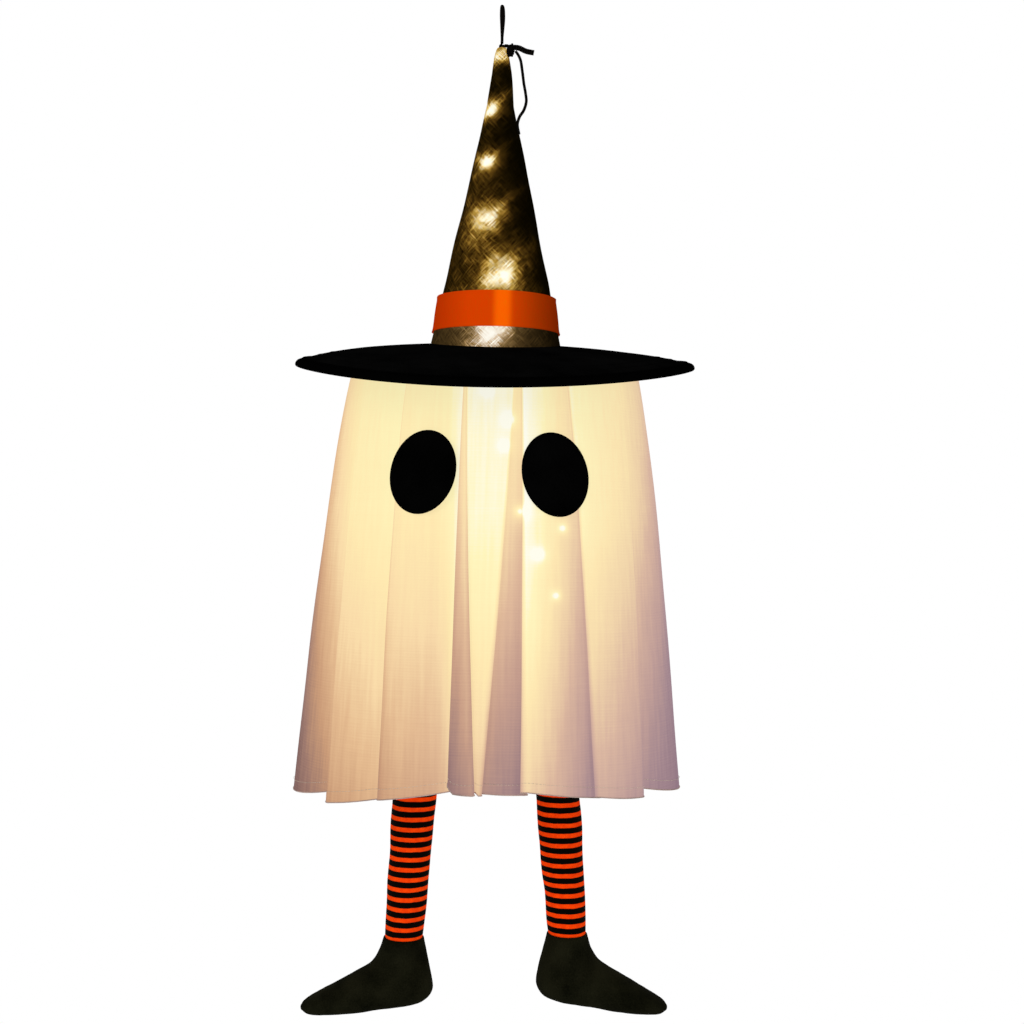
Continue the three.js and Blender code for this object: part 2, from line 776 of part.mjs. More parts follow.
function batteryCover() {
  const half = bayWidth / 2 + coverRail;
  const face = coverFront + coverThickness;
  const plate = box(-half, half, coverFront, face, caseFoot, coverTop);
  const grip = [];
  for (let i = 0; i < gripCount; i++) {
    const z = caseFoot + gripLift + i * gripPitch;
    grip.push(box(-gripWidth / 2, gripWidth / 2, face - 0.4, face + gripProud, z, z + gripBar));
  }
  return cut(plate, [], grip);
}

function cell(x, up) {
  const r = cellDiameter / 2;
  const half = (cellLength + cellNub) / 2;
  const shoulder = half - cellNub;
  const body = revolve([
    [0, -half],
    [r - 0.6, -half],
    [r, -half + 0.6],
    [r, shoulder - 0.6],
    [r - 0.6, shoulder],
    [cellNubRadius, shoulder],
    [cellNubRadius, half],
    [0, half],
  ], 18);
  if (!up) body.rotateX(Math.PI);
  return body.translate(x, 0, (bayFoot + bayTop) / 2);
}

function contactPlate(z) {
  const half = bayWidth / 2 - gap;
  const deep = bayDepth / 2 - gap - 1.5;
  const body = box(-half, half, -deep, deep, z, z + contactThickness);
  const slits = [-0.5, 0.5].map((share) => {
    const x = share * cellPitch;
    return box(x - 0.5, x + 0.5, -deep + 2.5, deep + 1, z - 1, z + contactThickness + 1);
  });
  return cut(body, slits);
}

function switchSlider() {
  const front = caseFront - 1.4;
  const back = caseFront + switchDepth;
  const left = -switchTravel / 2 - switchWidth / 2;
  const low = switchZ - switchHeight / 2;
  const knob = box(left, left + switchWidth, front, back, low, low + switchHeight);
  const notches = [0.3, 0.5, 0.7].map((share) => {
    const x = left + share * switchWidth;
    return box(x - 0.3, x + 0.3, front - 1, front + 0.5, switchZ - switchHeight, switchZ + switchHeight);
  });
  return cut(knob, notches);
}

function leadGrommet() {
  const top = caseFoot - gap;
  return revolve([
    [0, top - grommetHeight],
    [grommetRadius * 0.7, top - grommetHeight],
    [grommetRadius, top - grommetHeight * 0.5],
    [grommetRadius, top],
    [0, top],
  ], 16);
}

// A tape in the YZ plane that hangs from an eye round a bar, with a second eye at its foot if it has one
function tape(length, width, thickness, topEye, footEye) {
  const shape = new THREE.Shape();
  const half = thickness / 2;
  const ring = (radius) => radius + thickness;
  const shoulder = (radius) => Math.asin(half / ring(radius));
  if (topEye > 0) {
    const lean = shoulder(topEye);
    shape.absarc(0, 0, ring(topEye), -Math.PI / 2 + lean, 1.5 * Math.PI - lean, false);
  } else {
    shape.moveTo(half, 0);
    shape.lineTo(-half, 0);
  }
  if (footEye > 0) {
    const lean = shoulder(footEye);
    shape.absarc(0, -length, ring(footEye), Math.PI / 2 + lean, 2.5 * Math.PI - lean, false);
  } else {
    shape.lineTo(-half, -length);
    shape.lineTo(half, -length);
  }
  shape.closePath();
  for (const [radius, height] of [[topEye, 0], [footEye, -length]]) {
    if (radius <= 0) continue;
    const hole = new THREE.Path();
    hole.absarc(0, height, radius, 0, 2 * Math.PI, true);
    shape.holes.push(hole);
  }
  const body = new THREE.ExtrudeGeometry(shape, { depth: width, bevelEnabled: false, curveSegments: 7 });
  body.translate(0, 0, -width / 2);
  return body.applyMatrix4(new THREE.Matrix4().makeBasis(
    new THREE.Vector3(0, 1, 0),
    new THREE.Vector3(0, 0, 1),
    new THREE.Vector3(1, 0, 0),
  ));
}

const squareEye = (bar, depth) => Math.hypot(bar, depth) / 2 + gap;

function caseTape() {
  const top = knotZ - knotRadius - 2 * gap;
  const width = 2 * Math.sqrt((crownInner(top) - gap) ** 2 - (caseTapeThickness / 2) ** 2) - 0.1;
  return tape(top - lugZ, width, caseTapeThickness, 0, squareEye(lugBar, lugBar)).translate(0, 0, top);
}

// Light string

// Lights in the crown from the tip down, and in the body from the hoop down: x and z of each
const crownLights = [
  [0.6, -60],
  [-6.4, -104],
  [-13.3, -161],
  [-12.8, -222],
  [6.1, -277],
  [-3.2, -330],
];
const bodyLights = [
  [-7.4, -396],
  [13.2, -422],
  [9.2, -446],
  [24.5, -505],
  [63.4, -519.5],
  [42.2, -543.5],
  [58.5, -580.5],
];

const lightOffset = leadDiameter / 2 + gap + lightRadius + 0.1;

function crownLightPoint([x, z]) {
  const r = crownInner(z) - lightOffset - lightRadius - lightSlack;
  return [x, -Math.sqrt(Math.max(r * r - x * x, 0.01)), z];
}

function bodyLightPoint([x, z]) {
  return [x, clothFront(x, z, -clothLightInset), z];
}

const leadFoot = caseFoot - gap - grommetHeight - gap;
const leadOffset = leadDiameter / 2 + gap;

function crownLead() {
  const route = crownLights.map(crownLightPoint).reverse();
  const turn = Math.min(leadFoot - 5, footZ - 4);
  const start = [
    [-leadOffset, 0, leadFoot],
    [-leadOffset, -0.4, leadFoot - 3],
    [-leadOffset - 0.6, -7, turn - 1],
    [-leadOffset - 1, -22, turn - 1.5],
    [-3, -40, turn + 1],
  ];
  return cord([...start, ...route], leadDiameter, leadDiameter, 42);
}

function bodyLead() {
  const route = bodyLights.map(bodyLightPoint);
  const start = [
    [leadOffset, 0, leadFoot],
    [leadOffset, -0.4, leadFoot - 4],
    [leadOffset + 0.5, -0.09 * clothTop, leadFoot - 16],
    [leadDiameter, -0.37 * clothTop, leadFoot - 28],
    [-leadDiameter, -0.7 * clothTop, leadFoot - 40],
  ];
  return cord([...start, ...route], leadDiameter, leadDiameter, 60);
}

function light([x, y, z]) {
  const half = lightLength / 2;
  const bead = revolve([
    [0, -half],
    [lightRadius * 0.7, -half * 0.8],
    [lightRadius, -half * 0.4],
    [lightRadius, half * 0.4],
    [lightRadius * 0.7, half * 0.8],
    [0, half],
  ], 8);
  return bead.translate(x, y - lightOffset, z);
}

// Legs

function legRing() {
  const outline = (width, low, high, corner) => {
    const shape = new THREE.Shape();
    const half = width / 2;
    shape.moveTo(-half + corner, low);
    shape.lineTo(half - corner, low);
    shape.absarc(half - corner, low + corner, corner, -Math.PI / 2, 0, false);
    shape.lineTo(half, high - corner);
    shape.absarc(half - corner, high - corner, corner, 0, Math.PI / 2, false);
    shape.lineTo(-half + corner, high);
    shape.absarc(-half + corner, high - corner, corner, Math.PI / 2, Math.PI, false);
    shape.lineTo(-half, low + corner);
    shape.absarc(-half + corner, low + corner, corner, Math.PI, 1.5 * Math.PI, false);
    return shape;
  };
  const high = ringBar / 2;
  const low = -ringBar / 2 - ringWindow - ringBar;
  const plate = outline(ringWidth, low, high, 2.2);
  plate.holes.push(outline(ringWidth - 2 * ringBar, low + ringBar, high - ringBar, 0.8));
  const body = new THREE.ExtrudeGeometry(plate, { depth: ringDepth, bevelEnabled: false, curveSegments: 3 });
  return body.rotateX(Math.PI / 2).translate(0, ringDepth / 2, 0);
}

const splay = (side) => legSplay + side * legTurn;

function stuffedLeg(side) {
  const profile = [[0, 0]];
  const domeShares = [[0.35, 0.012], [0.72, 0.05], [0.94, 0.11]];
  for (const [share, drop] of domeShares) profile.push([legTopRadius * share, -drop * legLength]);
  for (const drop of [0.2, 0.34, 0.5, 0.66, 0.82, 0.94]) {
    const swell = 0.9 * Math.sin(Math.PI * drop);
    profile.push([mix(legTopRadius, ankleRadius, drop) + swell - 0.4, -drop * legLength]);
  }
  profile.push([ankleRadius, -legLength], [0, -legLength]);
  return reshape(revolve(profile, 18), (p) => {
    p.x -= (side * splay(side) * p.z) / legLength;
  });
}

// Sections of the foot from the ankle to the toe, which points towards -X: x and z of the instep and of the
// heel or sole in shares of the foot's length and height, and a share of its width
const footSections = [
  { instep: [-0.155, 0], sole: [0.155, 0], wide: 0.76 },
  { instep: [-0.188, -0.186], sole: [0.182, -0.22], wide: 0.8 },
  { instep: [-0.235, -0.306], sole: [0.215, -0.46], wide: 0.88 },
  { instep: [-0.29, -0.375], sole: [0.225, -0.64], wide: 0.95 },
  { instep: [-0.345, -0.43], sole: [0.175, -0.775], wide: 1 },
  { instep: [-0.42, -0.5], sole: [0.06, -0.85], wide: 1 },
  { instep: [-0.51, -0.585], sole: [-0.14, -0.893], wide: 0.98 },
  { instep: [-0.61, -0.68], sole: [-0.36, -0.95], wide: 0.92 },
  { instep: [-0.7, -0.765], sole: [-0.56, -0.98], wide: 0.78 },
  { instep: [-0.755, -0.83], sole: [-0.7, -0.982], wide: 0.55 },
  { instep: [-0.781, -0.885], sole: [-0.765, -0.94], wide: 0.25 },
];
const footSides = 14;

function stuffedFoot(side) {
  return loft(footSections.map(({ instep, sole, wide }) => {
    const middleX = ((instep[0] + sole[0]) / 2) * footLength;
    const middleZ = ((instep[1] + sole[1]) / 2) * footHeight;
    const reachX = ((instep[0] - sole[0]) / 2) * footLength;
    const reachZ = ((instep[1] - sole[1]) / 2) * footHeight;
    const ring = [];
    for (let i = 0; i < footSides; i++) {
      const turn = (i / footSides) * 2 * Math.PI;
      const x = middleX + reachX * Math.cos(turn);
      const z = middleZ + reachZ * Math.cos(turn);
      ring.push(new THREE.Vector3(-side * x, (Math.sin(turn) * wide * footWidth) / 2, z));
    }
    return ring;
  }));
}

// Assembly

function buildHanger() {
  const hanger = new THREE.Group();
  hanger.add(piece('hanging_loop', hangingLoop(), 'blackCord'));
  const knot = piece('tip_knot', tipKnot(), 'blackCord');
  knot.position.z = knotZ;
  hanger.add(knot);
  hanger.add(piece('side_knot', sideKnot(), 'blackCord'));
  hanger.add(piece('loose_strand', looseStrand(), 'blackCord'));
  return hanger;
}

function buildHat() {
  const hat = new THREE.Group();
  hat.add(piece('hat_crown', crown(), 'crownCloth'));
  hat.add(piece('hat_band', hatBand(), 'bandSatin'));
  hat.add(piece('brim_upper', brimLayer(0), 'blackFelt'));
  hat.add(piece('brim_lower', brimLayer(brimCloth + gap), 'blackFelt'));
  hat.add(piece('brim_wire', brimWire(), 'wire'));
  hat.add(piece('brim_binding', brimBinding(), 'blackFelt'));
  return hat;
}

function buildBody() {
  const body = new THREE.Group();
  body.add(piece('body_hoop', bodyHoop(), 'wire'));
  body.add(piece('hoop_crossbar', hoopCrossbar(), 'wire'));
  for (let i = 0; i < tabCount; i++) {
    body.add(piece(`hoop_tab_${i + 1}`, hoopTab(((i + 0.5) / tabCount) * 2 * Math.PI), 'tape'));
  }
  body.add(piece('body_front', clothPanel(0), 'voile'));
  body.add(piece('body_back', clothPanel(Math.PI), 'voile'));
  body.add(piece('left_eye', eye(-1), 'blackFelt'));
  body.add(piece('right_eye', eye(1), 'blackFelt'));
  return body;
}

function buildBattery() {
  const battery = new THREE.Group();
  battery.add(piece('battery_case', batteryCase(), 'casePlastic'));
  battery.add(piece('battery_cover', batteryCover(), 'casePlastic'));
  for (const i of [0, 1, 2]) {
    battery.add(piece(`battery_cell_${i + 1}`, cell((i - 1) * cellPitch, i % 2 === 0), 'cellJacket'));
  }
  battery.add(piece('contact_plate_upper', contactPlate(bayTop - gap - contactThickness), 'contact'));
  battery.add(piece('contact_plate_lower', contactPlate(bayFoot + gap), 'contact'));
  battery.add(piece('switch_slider', switchSlider(), 'switchPlastic'));
  battery.add(piece('case_tape', caseTape(), 'tape'));
  battery.add(piece('lead_grommet', leadGrommet(), 'casePlastic'));
  return battery;
}

function buildLights() {
  const lights = new THREE.Group();
  lights.add(piece('crown_lead', crownLead(), 'leadWire'));
  lights.add(piece('body_lead', bodyLead(), 'leadWire'));
  const points = [...crownLights.map(crownLightPoint), ...bodyLights.map(bodyLightPoint)];
  points.forEach((point, i) => {
    lights.add(piece(`light_${String(i + 1).padStart(2, '0')}`, light(point), 'lens'));
  });
  return lights;
}

function buildLeg(name, side) {
  const length = tapeLength - side * legUneven;
  const ringZ = barZ - length;
  const legTop = ringZ - ringBar / 2 - ringWindow - ringBar - gap;
  const leg = new THREE.Group();
  leg.position.set(legMiddle + (side * legSpacing) / 2, 0, 0);
  const band = tape(length, tapeWidth, tapeThickness, hoopWire / 2 + gap, squareEye(ringBar, ringDepth));
  const strap = piece(`${name}_leg_tape`, band, 'tape');
  strap.position.z = barZ;
  const ring = piece(`${name}_leg_ring`, legRing(), 'wire');
  ring.position.z = ringZ;
  const stuffed = piece(`${name}_leg`, stuffedLeg(side), 'stocking');
  stuffed.position.z = legTop;
  const foot = piece(`${name}_foot`, stuffedFoot(side), 'footCloth');
  foot.position.set(side * splay(side), 0, legTop - legLength - gap);
  leg.add(strap, ring, stuffed, foot);
  return leg;
}

const ghost = new THREE.Group();
ghost.name = 'hanging_ghost_string_lights';
ghost.add(buildHanger(), buildHat(), buildBody(), buildBattery(), buildLights());
ghost.add(buildLeg('left', -1), buildLeg('right', 1));

export default ghost;
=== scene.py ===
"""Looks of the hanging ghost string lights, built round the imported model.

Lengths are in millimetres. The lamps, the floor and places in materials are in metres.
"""

import math
from collections import namedtuple
from functools import partialmethod

import bmesh
import bpy
import numpy as np
from mathutils import Matrix, Vector, noise


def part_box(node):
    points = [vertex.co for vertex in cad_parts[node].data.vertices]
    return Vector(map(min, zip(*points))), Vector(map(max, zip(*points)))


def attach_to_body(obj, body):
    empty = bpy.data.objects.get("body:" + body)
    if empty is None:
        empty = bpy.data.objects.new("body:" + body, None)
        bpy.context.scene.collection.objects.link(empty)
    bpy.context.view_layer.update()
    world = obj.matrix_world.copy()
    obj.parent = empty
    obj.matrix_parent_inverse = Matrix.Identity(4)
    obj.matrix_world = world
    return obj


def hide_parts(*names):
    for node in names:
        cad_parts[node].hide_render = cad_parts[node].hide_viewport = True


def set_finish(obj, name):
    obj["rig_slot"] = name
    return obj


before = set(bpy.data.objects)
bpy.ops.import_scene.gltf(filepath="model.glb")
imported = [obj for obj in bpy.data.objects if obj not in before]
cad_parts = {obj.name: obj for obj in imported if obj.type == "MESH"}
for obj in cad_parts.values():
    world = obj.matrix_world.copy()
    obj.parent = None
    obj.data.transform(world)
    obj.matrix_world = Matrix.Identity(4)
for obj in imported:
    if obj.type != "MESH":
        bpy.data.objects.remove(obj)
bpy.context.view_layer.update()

MM = 0.001


def new_object(name, data):
    obj = bpy.data.objects.new(name, data)
    bpy.context.scene.collection.objects.link(obj)
    return obj


# Camera

CAMERA_DISTANCE = 1450
CAMERA_X = 19.8
CAMERA_Z = -505.7
CAMERA_ROLL = math.radians(1.2)
PICTURE_WIDTH = 1024
SENSOR_WIDTH = 36
VIEW_LIMIT = 50


def make_camera():
    data = bpy.data.cameras.new("camera")
    data.sensor_width = SENSOR_WIDTH
    data.lens = SENSOR_WIDTH * CAMERA_DISTANCE / PICTURE_WIDTH
    data.clip_end = VIEW_LIMIT
    camera = new_object("camera", data)
    right = Vector((math.cos(CAMERA_ROLL), 0, math.sin(CAMERA_ROLL)))
    up = Vector((-math.sin(CAMERA_ROLL), 0, math.cos(CAMERA_ROLL)))
    turn = Matrix((right, up, right.cross(up))).transposed().to_4x4()
    camera.matrix_world = Matrix.Translation(Vector((CAMERA_X, -CAMERA_DISTANCE, CAMERA_Z)) * MM) @ turn
    bpy.context.scene.camera = camera


make_camera()

# Studio

WORLD_LIGHT = (1, 0.985, 0.96, 1)
WORLD_STRENGTH = 0.45
# Soft lamps: place and size in metres, and power in watts
LAMPS = [((-1.5, -2.4, 0.5), 1.6, 34), ((1.9, -2.0, -0.4), 1.8, 14), ((0.3, 2.6, 0.6), 2.0, 26)]
LAMP_TARGET = Vector((0, 0, -0.5))


def make_world():
    """Dim light from all sides, behind which the picture stays white"""
    world = bpy.data.worlds.new("world")
    bpy.context.scene.world = world
    world.use_nodes = True
    nodes = world.node_tree.nodes
    link = world.node_tree.links.new
    dim = nodes["Background"]
    dim.inputs["Color"].default_value = WORLD_LIGHT
    dim.inputs["Strength"].default_value = WORLD_STRENGTH
    white = nodes.new("ShaderNodeBackground")
    white.inputs["Color"].default_value = (1, 1, 1, 1)
    rays = nodes.new("ShaderNodeLightPath").outputs
    seen = rays["Is Camera Ray"]
    for other in ("Is Glossy Ray", "Is Transmission Ray"):
        either = nodes.new("ShaderNodeMath")
        either.operation = "MAXIMUM"
        link(seen, either.inputs[0])
        link(rays[other], either.inputs[1])
        seen = either.outputs[0]
    choice = nodes.new("ShaderNodeMixShader")
    link(seen, choice.inputs[0])
    link(dim.outputs[0], choice.inputs[1])
    link(white.outputs[0], choice.inputs[2])
    link(choice.outputs[0], nodes["World Output"].inputs["Surface"])


def make_lamps():
    for number, (place, size, power) in enumerate(LAMPS):
        lamp = bpy.data.lights.new(f"lamp_{number}", "AREA")
        lamp.size = size
        lamp.energy = power
        holder = new_object(f"lamp_{number}", lamp)
        holder.location = place
        holder.rotation_euler = (LAMP_TARGET - Vector(place)).to_track_quat("-Z", "Y").to_euler()


bpy.context.scene.view_settings.view_transform = "Standard"
make_world()
make_lamps()


# Sizes of the model that the pieces follow

GAP = 0.3
LOOP_CORD = 2.4
LOOP_SPREAD = 7.6
KNOT_Z = -41
KNOT_RADIUS = 3.2
SIDE_KNOT_LENGTH = 14
SIDE_KNOT_WIDTH = 8.4
TAIL_LENGTH = 22
TAIL_WIDTH = 5.4
TAIL_THICKNESS = 1.5

TIP_DROP = 1.5
TIP_Z = KNOT_Z - TIP_DROP
CROWN_HEIGHT = 296
CROWN_WALL = 1.2
CROWN_NECK_DROP = 58
CROWN_NECK_RADIUS = 13.5
CROWN_FOOT_RADIUS = 64.5
FOOT_Z = TIP_Z - CROWN_HEIGHT
TIP_OUTER = math.sqrt((KNOT_RADIUS + GAP) ** 2 - TIP_DROP ** 2) + 0.1 + CROWN_WALL

BAND_WIDTH = 35
BAND_LIFT = 10
BAND_THICKNESS = 1
BAND_PROUD = 2.4

BRIM_RADIUS = 198
BRIM_DOME = 23
BRIM_TIP = 26
BRIM_DROOP = 12
BRIM_WARP = 1.8
BRIM_CLOTH = 1.4
BRIM_SEAM = 5
BRIM_STACK = 2 * BRIM_CLOTH + GAP
RIM_WIRE = 2.4
BINDING_WALL = 1
BINDING_DEPTH = 9

HOOP_INSET = 68
HOOP_RADIUS = BRIM_RADIUS - HOOP_INSET
HOOP_WIRE = 3
TAB_COUNT = 6
TAB_THICKNESS = 1
TAB_WIDTH = 12

CLOTH_WALL = 1.2
FOLD_TOP = 1.2
FOLD_HEM = 8
HEM_HALF_WIDTH = BRIM_RADIUS - 12.8
HEM_HALF_DEPTH = 150
HEM_DROP = 783
HEM_LIFT = 23
HEM_SLANT = 4
FLARE_CURVE = 0.68
CLOTH_TOP = HOOP_RADIUS + HOOP_WIRE / 2 + GAP + TAB_THICKNESS + GAP + CLOTH_WALL / 2 + FOLD_TOP

EYE_WIDTH = 60.5
EYE_HEIGHT = 78
EYE_SPACING = 120.7
EYE_SHIFT = -1.8
EYE_DROP = 471
EYE_THICKNESS = 1
EYE_LEAN = math.radians(16)

LEG_SPACING = 137
LEG_MIDDLE = -1
TAPE_LENGTH = 386
LEG_UNEVEN = 3.6
TAPE_WIDTH = 10
RING_BAR = 2.4
RING_DEPTH = 2
RING_WINDOW = 7
LEG_LENGTH = 182
LEG_TOP_RADIUS = 23.4
ANKLE_RADIUS = 19.8
LEG_SPLAY = 13
LEG_TURN = 3
FOOT_LENGTH = 130
FOOT_HEIGHT = 79
FOOT_WIDTH = 52

LIGHT_COUNT = 13
# Middles of the lights inside the gown: x and z
BODY_LIGHTS = [
    (-7.4, -396), (13.2, -422), (9.2, -446), (24.5, -505), (63.4, -519.5), (42.2, -543.5), (58.5, -580.5),
]


# Shapes shared with the model

def mix(a, b, share):
    return a + (b - a) * share


def smooth(low, high, value):
    share = np.clip((value - low) / (high - low), 0, 1)
    return share * share * (3 - 2 * share)


def bell(value, width, power=2):
    """1 in the middle, and close to 0 beyond a width"""
    return np.exp(-(value / width) ** power)


def xyz(*parts):
    """Points from their parts along X, Y and Z"""
    return np.stack(np.broadcast_arrays(*parts), axis=-1)


def waves(angle, *parts):
    """A sum of waves round the Z axis, each with its size, its count in one turn and its shift"""
    return sum(size * np.sin(count * angle + shift) for size, count, shift in parts)


def crown_outer(z):
    drop = np.clip(TIP_Z - z, 0, None)
    neck = TIP_OUTER + (CROWN_NECK_RADIUS - TIP_OUTER) * (drop / CROWN_NECK_DROP) ** 0.6
    slope = (CROWN_FOOT_RADIUS - CROWN_NECK_RADIUS) / (CROWN_HEIGHT - CROWN_NECK_DROP)
    return np.where(drop < CROWN_NECK_DROP, neck, CROWN_NECK_RADIUS + slope * (drop - CROWN_NECK_DROP))


def dome(r):
    return BRIM_DOME * (1 - (r / (BRIM_RADIUS + 3)) ** 2) ** 0.6


def tilt(y):
    share = y / BRIM_RADIUS
    return BRIM_TIP * share - BRIM_DROOP * share ** 2


def plain_brim(r, y):
    return FOOT_Z - GAP + dome(r) - dome(CROWN_FOOT_RADIUS) + tilt(y)


def brim_top(x, y):
    r = np.hypot(x, y)
    return plain_brim(r, y) + BRIM_WARP * x * np.clip((r - HOOP_RADIUS) / HOOP_INSET, 0, 1) / BRIM_RADIUS


HOOP_BELOW = BRIM_STACK + GAP + TAB_THICKNESS + GAP + HOOP_WIRE / 2


def hoop_z(y):
    return plain_brim(HOOP_RADIUS, y) - HOOP_BELOW


BAR_Z = float(hoop_z(0))

# Folds of one half of the gown, left to right, with their angle at the top and at the hem. Then, for the
# cloth just left and just right of the fold: how far it stands out as a share of the depth, how much more
# painted light it gets than the cloth around (below 0, painted shade), and how much higher than the plain
# hem it ends. A light sweep paints the cloth right of the fold lighter or darker, and a notch is how much
# higher the turned-in cloth ends.
Fold = namedtuple("Fold", "top hem out tone lift belly notch", defaults=(0, 0))
FOLDS = [
    Fold(-90, -90, (0.9, 0.9), (-1.3, -1.3), (0, 0)),
    Fold(-58, -51.5, (-0.8, 0.8), (0.5, 0.45), (0, -6)),
    Fold(-34.5, -31, (-0.2, 0.8), (0.35, -0.1), (-6.5, -4.5), belly=-0.4),
    Fold(-11, -10.4, (-1, 0.6), (0.3, -0.85), (-5, -1.5), notch=11),
    Fold(-9.6, -2.4, (0.3, -0.5), (-0.6, 0.1), (-4.5, -4.5)),
    Fold(8.6, -0.4, (0.3, -0.7), (0.1, -0.65), (-4.5, -6.5)),
    Fold(10.4, 9.6, (-0.5, 0.9), (-0.85, 0.4), (-7, 1)),
    Fold(28.5, 32, (-0.1, 0.6), (-0.6, 0.35), (-5.5, -2.5)),
    Fold(57, 51.5, (0.8, -0.8), (0.1, 0.15), (-1, 3)),
    Fold(90, 90, (0.9, 0.9), (-1.3, -1.3), (1, 1)),
]
PLEAT_CROWN = 0.3


def fold_depth(v):
    return mix(FOLD_TOP, FOLD_HEM, np.clip(v, 0, 1) ** 0.8)


def cloth_height(angle, v):
    top = hoop_z(-CLOTH_TOP * np.cos(angle)) + HOOP_WIRE / 2
    hem = -HEM_DROP + HEM_LIFT * np.cos(angle) ** 2 + HEM_SLANT * np.sin(angle)
    return mix(top, hem, v)


def cloth_oval(v, offset=0):
    """Half the width and half the depth of the gown at a share v of its height"""
    share = np.clip(v, 0, 1) ** FLARE_CURVE
    return mix(CLOTH_TOP, HEM_HALF_WIDTH, share) + offset, mix(CLOTH_TOP, HEM_HALF_DEPTH, share) + offset


def cloth_point(angle, v, offset):
    wide, deep = cloth_oval(v, offset)
    return xyz(wide * np.sin(angle), -deep * np.cos(angle), cloth_height(angle, v))


def cloth_share(angle, z):
    top = cloth_height(angle, 0)
    return np.clip((top - z) / (top - cloth_height(angle, 1)), 0, 1)


def cloth_front(x, z, offset):
    """The y of the gown's front at places x and z, found by steps because the height depends on the angle"""
    angle = np.zeros_like(x)
    for _ in range(4):
        wide, deep = cloth_oval(cloth_share(angle, z), offset)
        angle = np.arcsin(np.clip(x / wide, -1, 1))
    return -deep * np.cos(angle)


# Mesh helpers

class Shape:
    """Points in millimetres, faces, and a value at each point, that become one object"""

    def __init__(self):
        self.points = []
        self.faces = []
        self.values = {}

    def add(self, points, faces, **values):
        start = len(self.points)
        self.points.extend(np.asarray(points, float).reshape(-1, 3).tolist())
        self.faces.extend([tuple(start + i for i in face) for face in faces])
        for name, value in values.items():
            self.values.setdefault(name, []).extend(np.asarray(value, float).ravel().tolist())

    def make(self, name, closed=True):
        mesh = bpy.data.meshes.new(name)
        mesh.from_pydata((np.array(self.points) * MM).tolist(), [], self.faces)
        if closed:
            turn_outwards(mesh)
        mesh.shade_smooth()
        for key, value in self.values.items():
            mesh.attributes.new(key, "FLOAT", "POINT").data.foreach_set("value", value)
        return new_object(name, mesh)


def turn_outwards(mesh):
    work = bmesh.new()
    work.from_mesh(mesh)
    bmesh.ops.recalc_face_normals(work, faces=work.faces)
    work.to_mesh(mesh)
    work.free()


def ring_faces(rows, columns, loop=False, capped=False):
    """Faces between rows of closed rings. The rows may close to a loop, or have a cap at each end"""
    faces = []
    for i in range(rows if loop else rows - 1):
        for j in range(columns):
            here = i * columns
            below = (i + 1) % rows * columns
            after = (j + 1) % columns
            faces.append((here + j, below + j, below + after, here + after))
    if capped:
        faces.append(tuple(range(columns)))
        faces.append(tuple(range((rows - 1) * columns, rows * columns)))
    return faces


def ring_angles(columns):
    return np.linspace(0, 2 * math.pi, columns, endpoint=False)


def turned(r, z, columns):
    """Points of a profile of radii and heights turned round the Z axis, row by row"""
    angles = ring_angles(columns)
    r = r[:, None]
    return xyz(r * np.cos(angles), r * np.sin(angles), np.reshape(z, (-1, 1))).reshape(-1, 3)


def solidify(obj, thickness):
    """Thickens a sheet to the side that it faces away from"""
    modifier = obj.modifiers.new("thickness", "SOLIDIFY")
    modifier.thickness = thickness * MM
    modifier.offset = -1
    modifier.use_even_offset = True


def run_along(points):
    """How far along a line of points each point lies"""
    return np.concatenate([[0], np.cumsum(np.linalg.norm(np.diff(points, axis=0), axis=1))])


def even_steps(points, step):
    """Points a step apart on a line of points"""
    points = np.array(points, float)
    run = run_along(points)
    at = np.linspace(0, run[-1], max(2, round(run[-1] / step) + 1))
    return xyz(*(np.interp(at, run, part) for part in points.T))


def hermite(a, b, slope_a, slope_b, width, t):
    """The place at a share t of a smooth line from a to b"""
    start = (2 * t ** 3 - 3 * t ** 2 + 1) * a + (t ** 3 - 2 * t ** 2 + t) * width * slope_a
    return start + (3 * t ** 2 - 2 * t ** 3) * b + (t ** 3 - t ** 2) * width * slope_b


def curve(points, step):
    """Points a step apart on the centripetal curve through some points"""
    points = np.array(points, float)
    ends = np.vstack([2 * points[0] - points[1], points, 2 * points[-1] - points[-2]])
    ways = np.diff(ends, axis=0)
    widths = np.sqrt(np.linalg.norm(ways, axis=1))[:, None]
    speeds = ways / widths
    slopes = speeds[:-1] + speeds[1:] - (ways[:-1] + ways[1:]) / (widths[:-1] + widths[1:])
    fine = []
    for a, b, slope_a, slope_b, width in zip(points, points[1:], slopes, slopes[1:], widths[1:]):
        fine += [hermite(a, b, slope_a, slope_b, width, t) for t in np.arange(16) / 16]
    return even_steps([*fine, points[-1]], step)


def signed_power(values, power):
    return np.sign(values) * np.abs(values) ** power


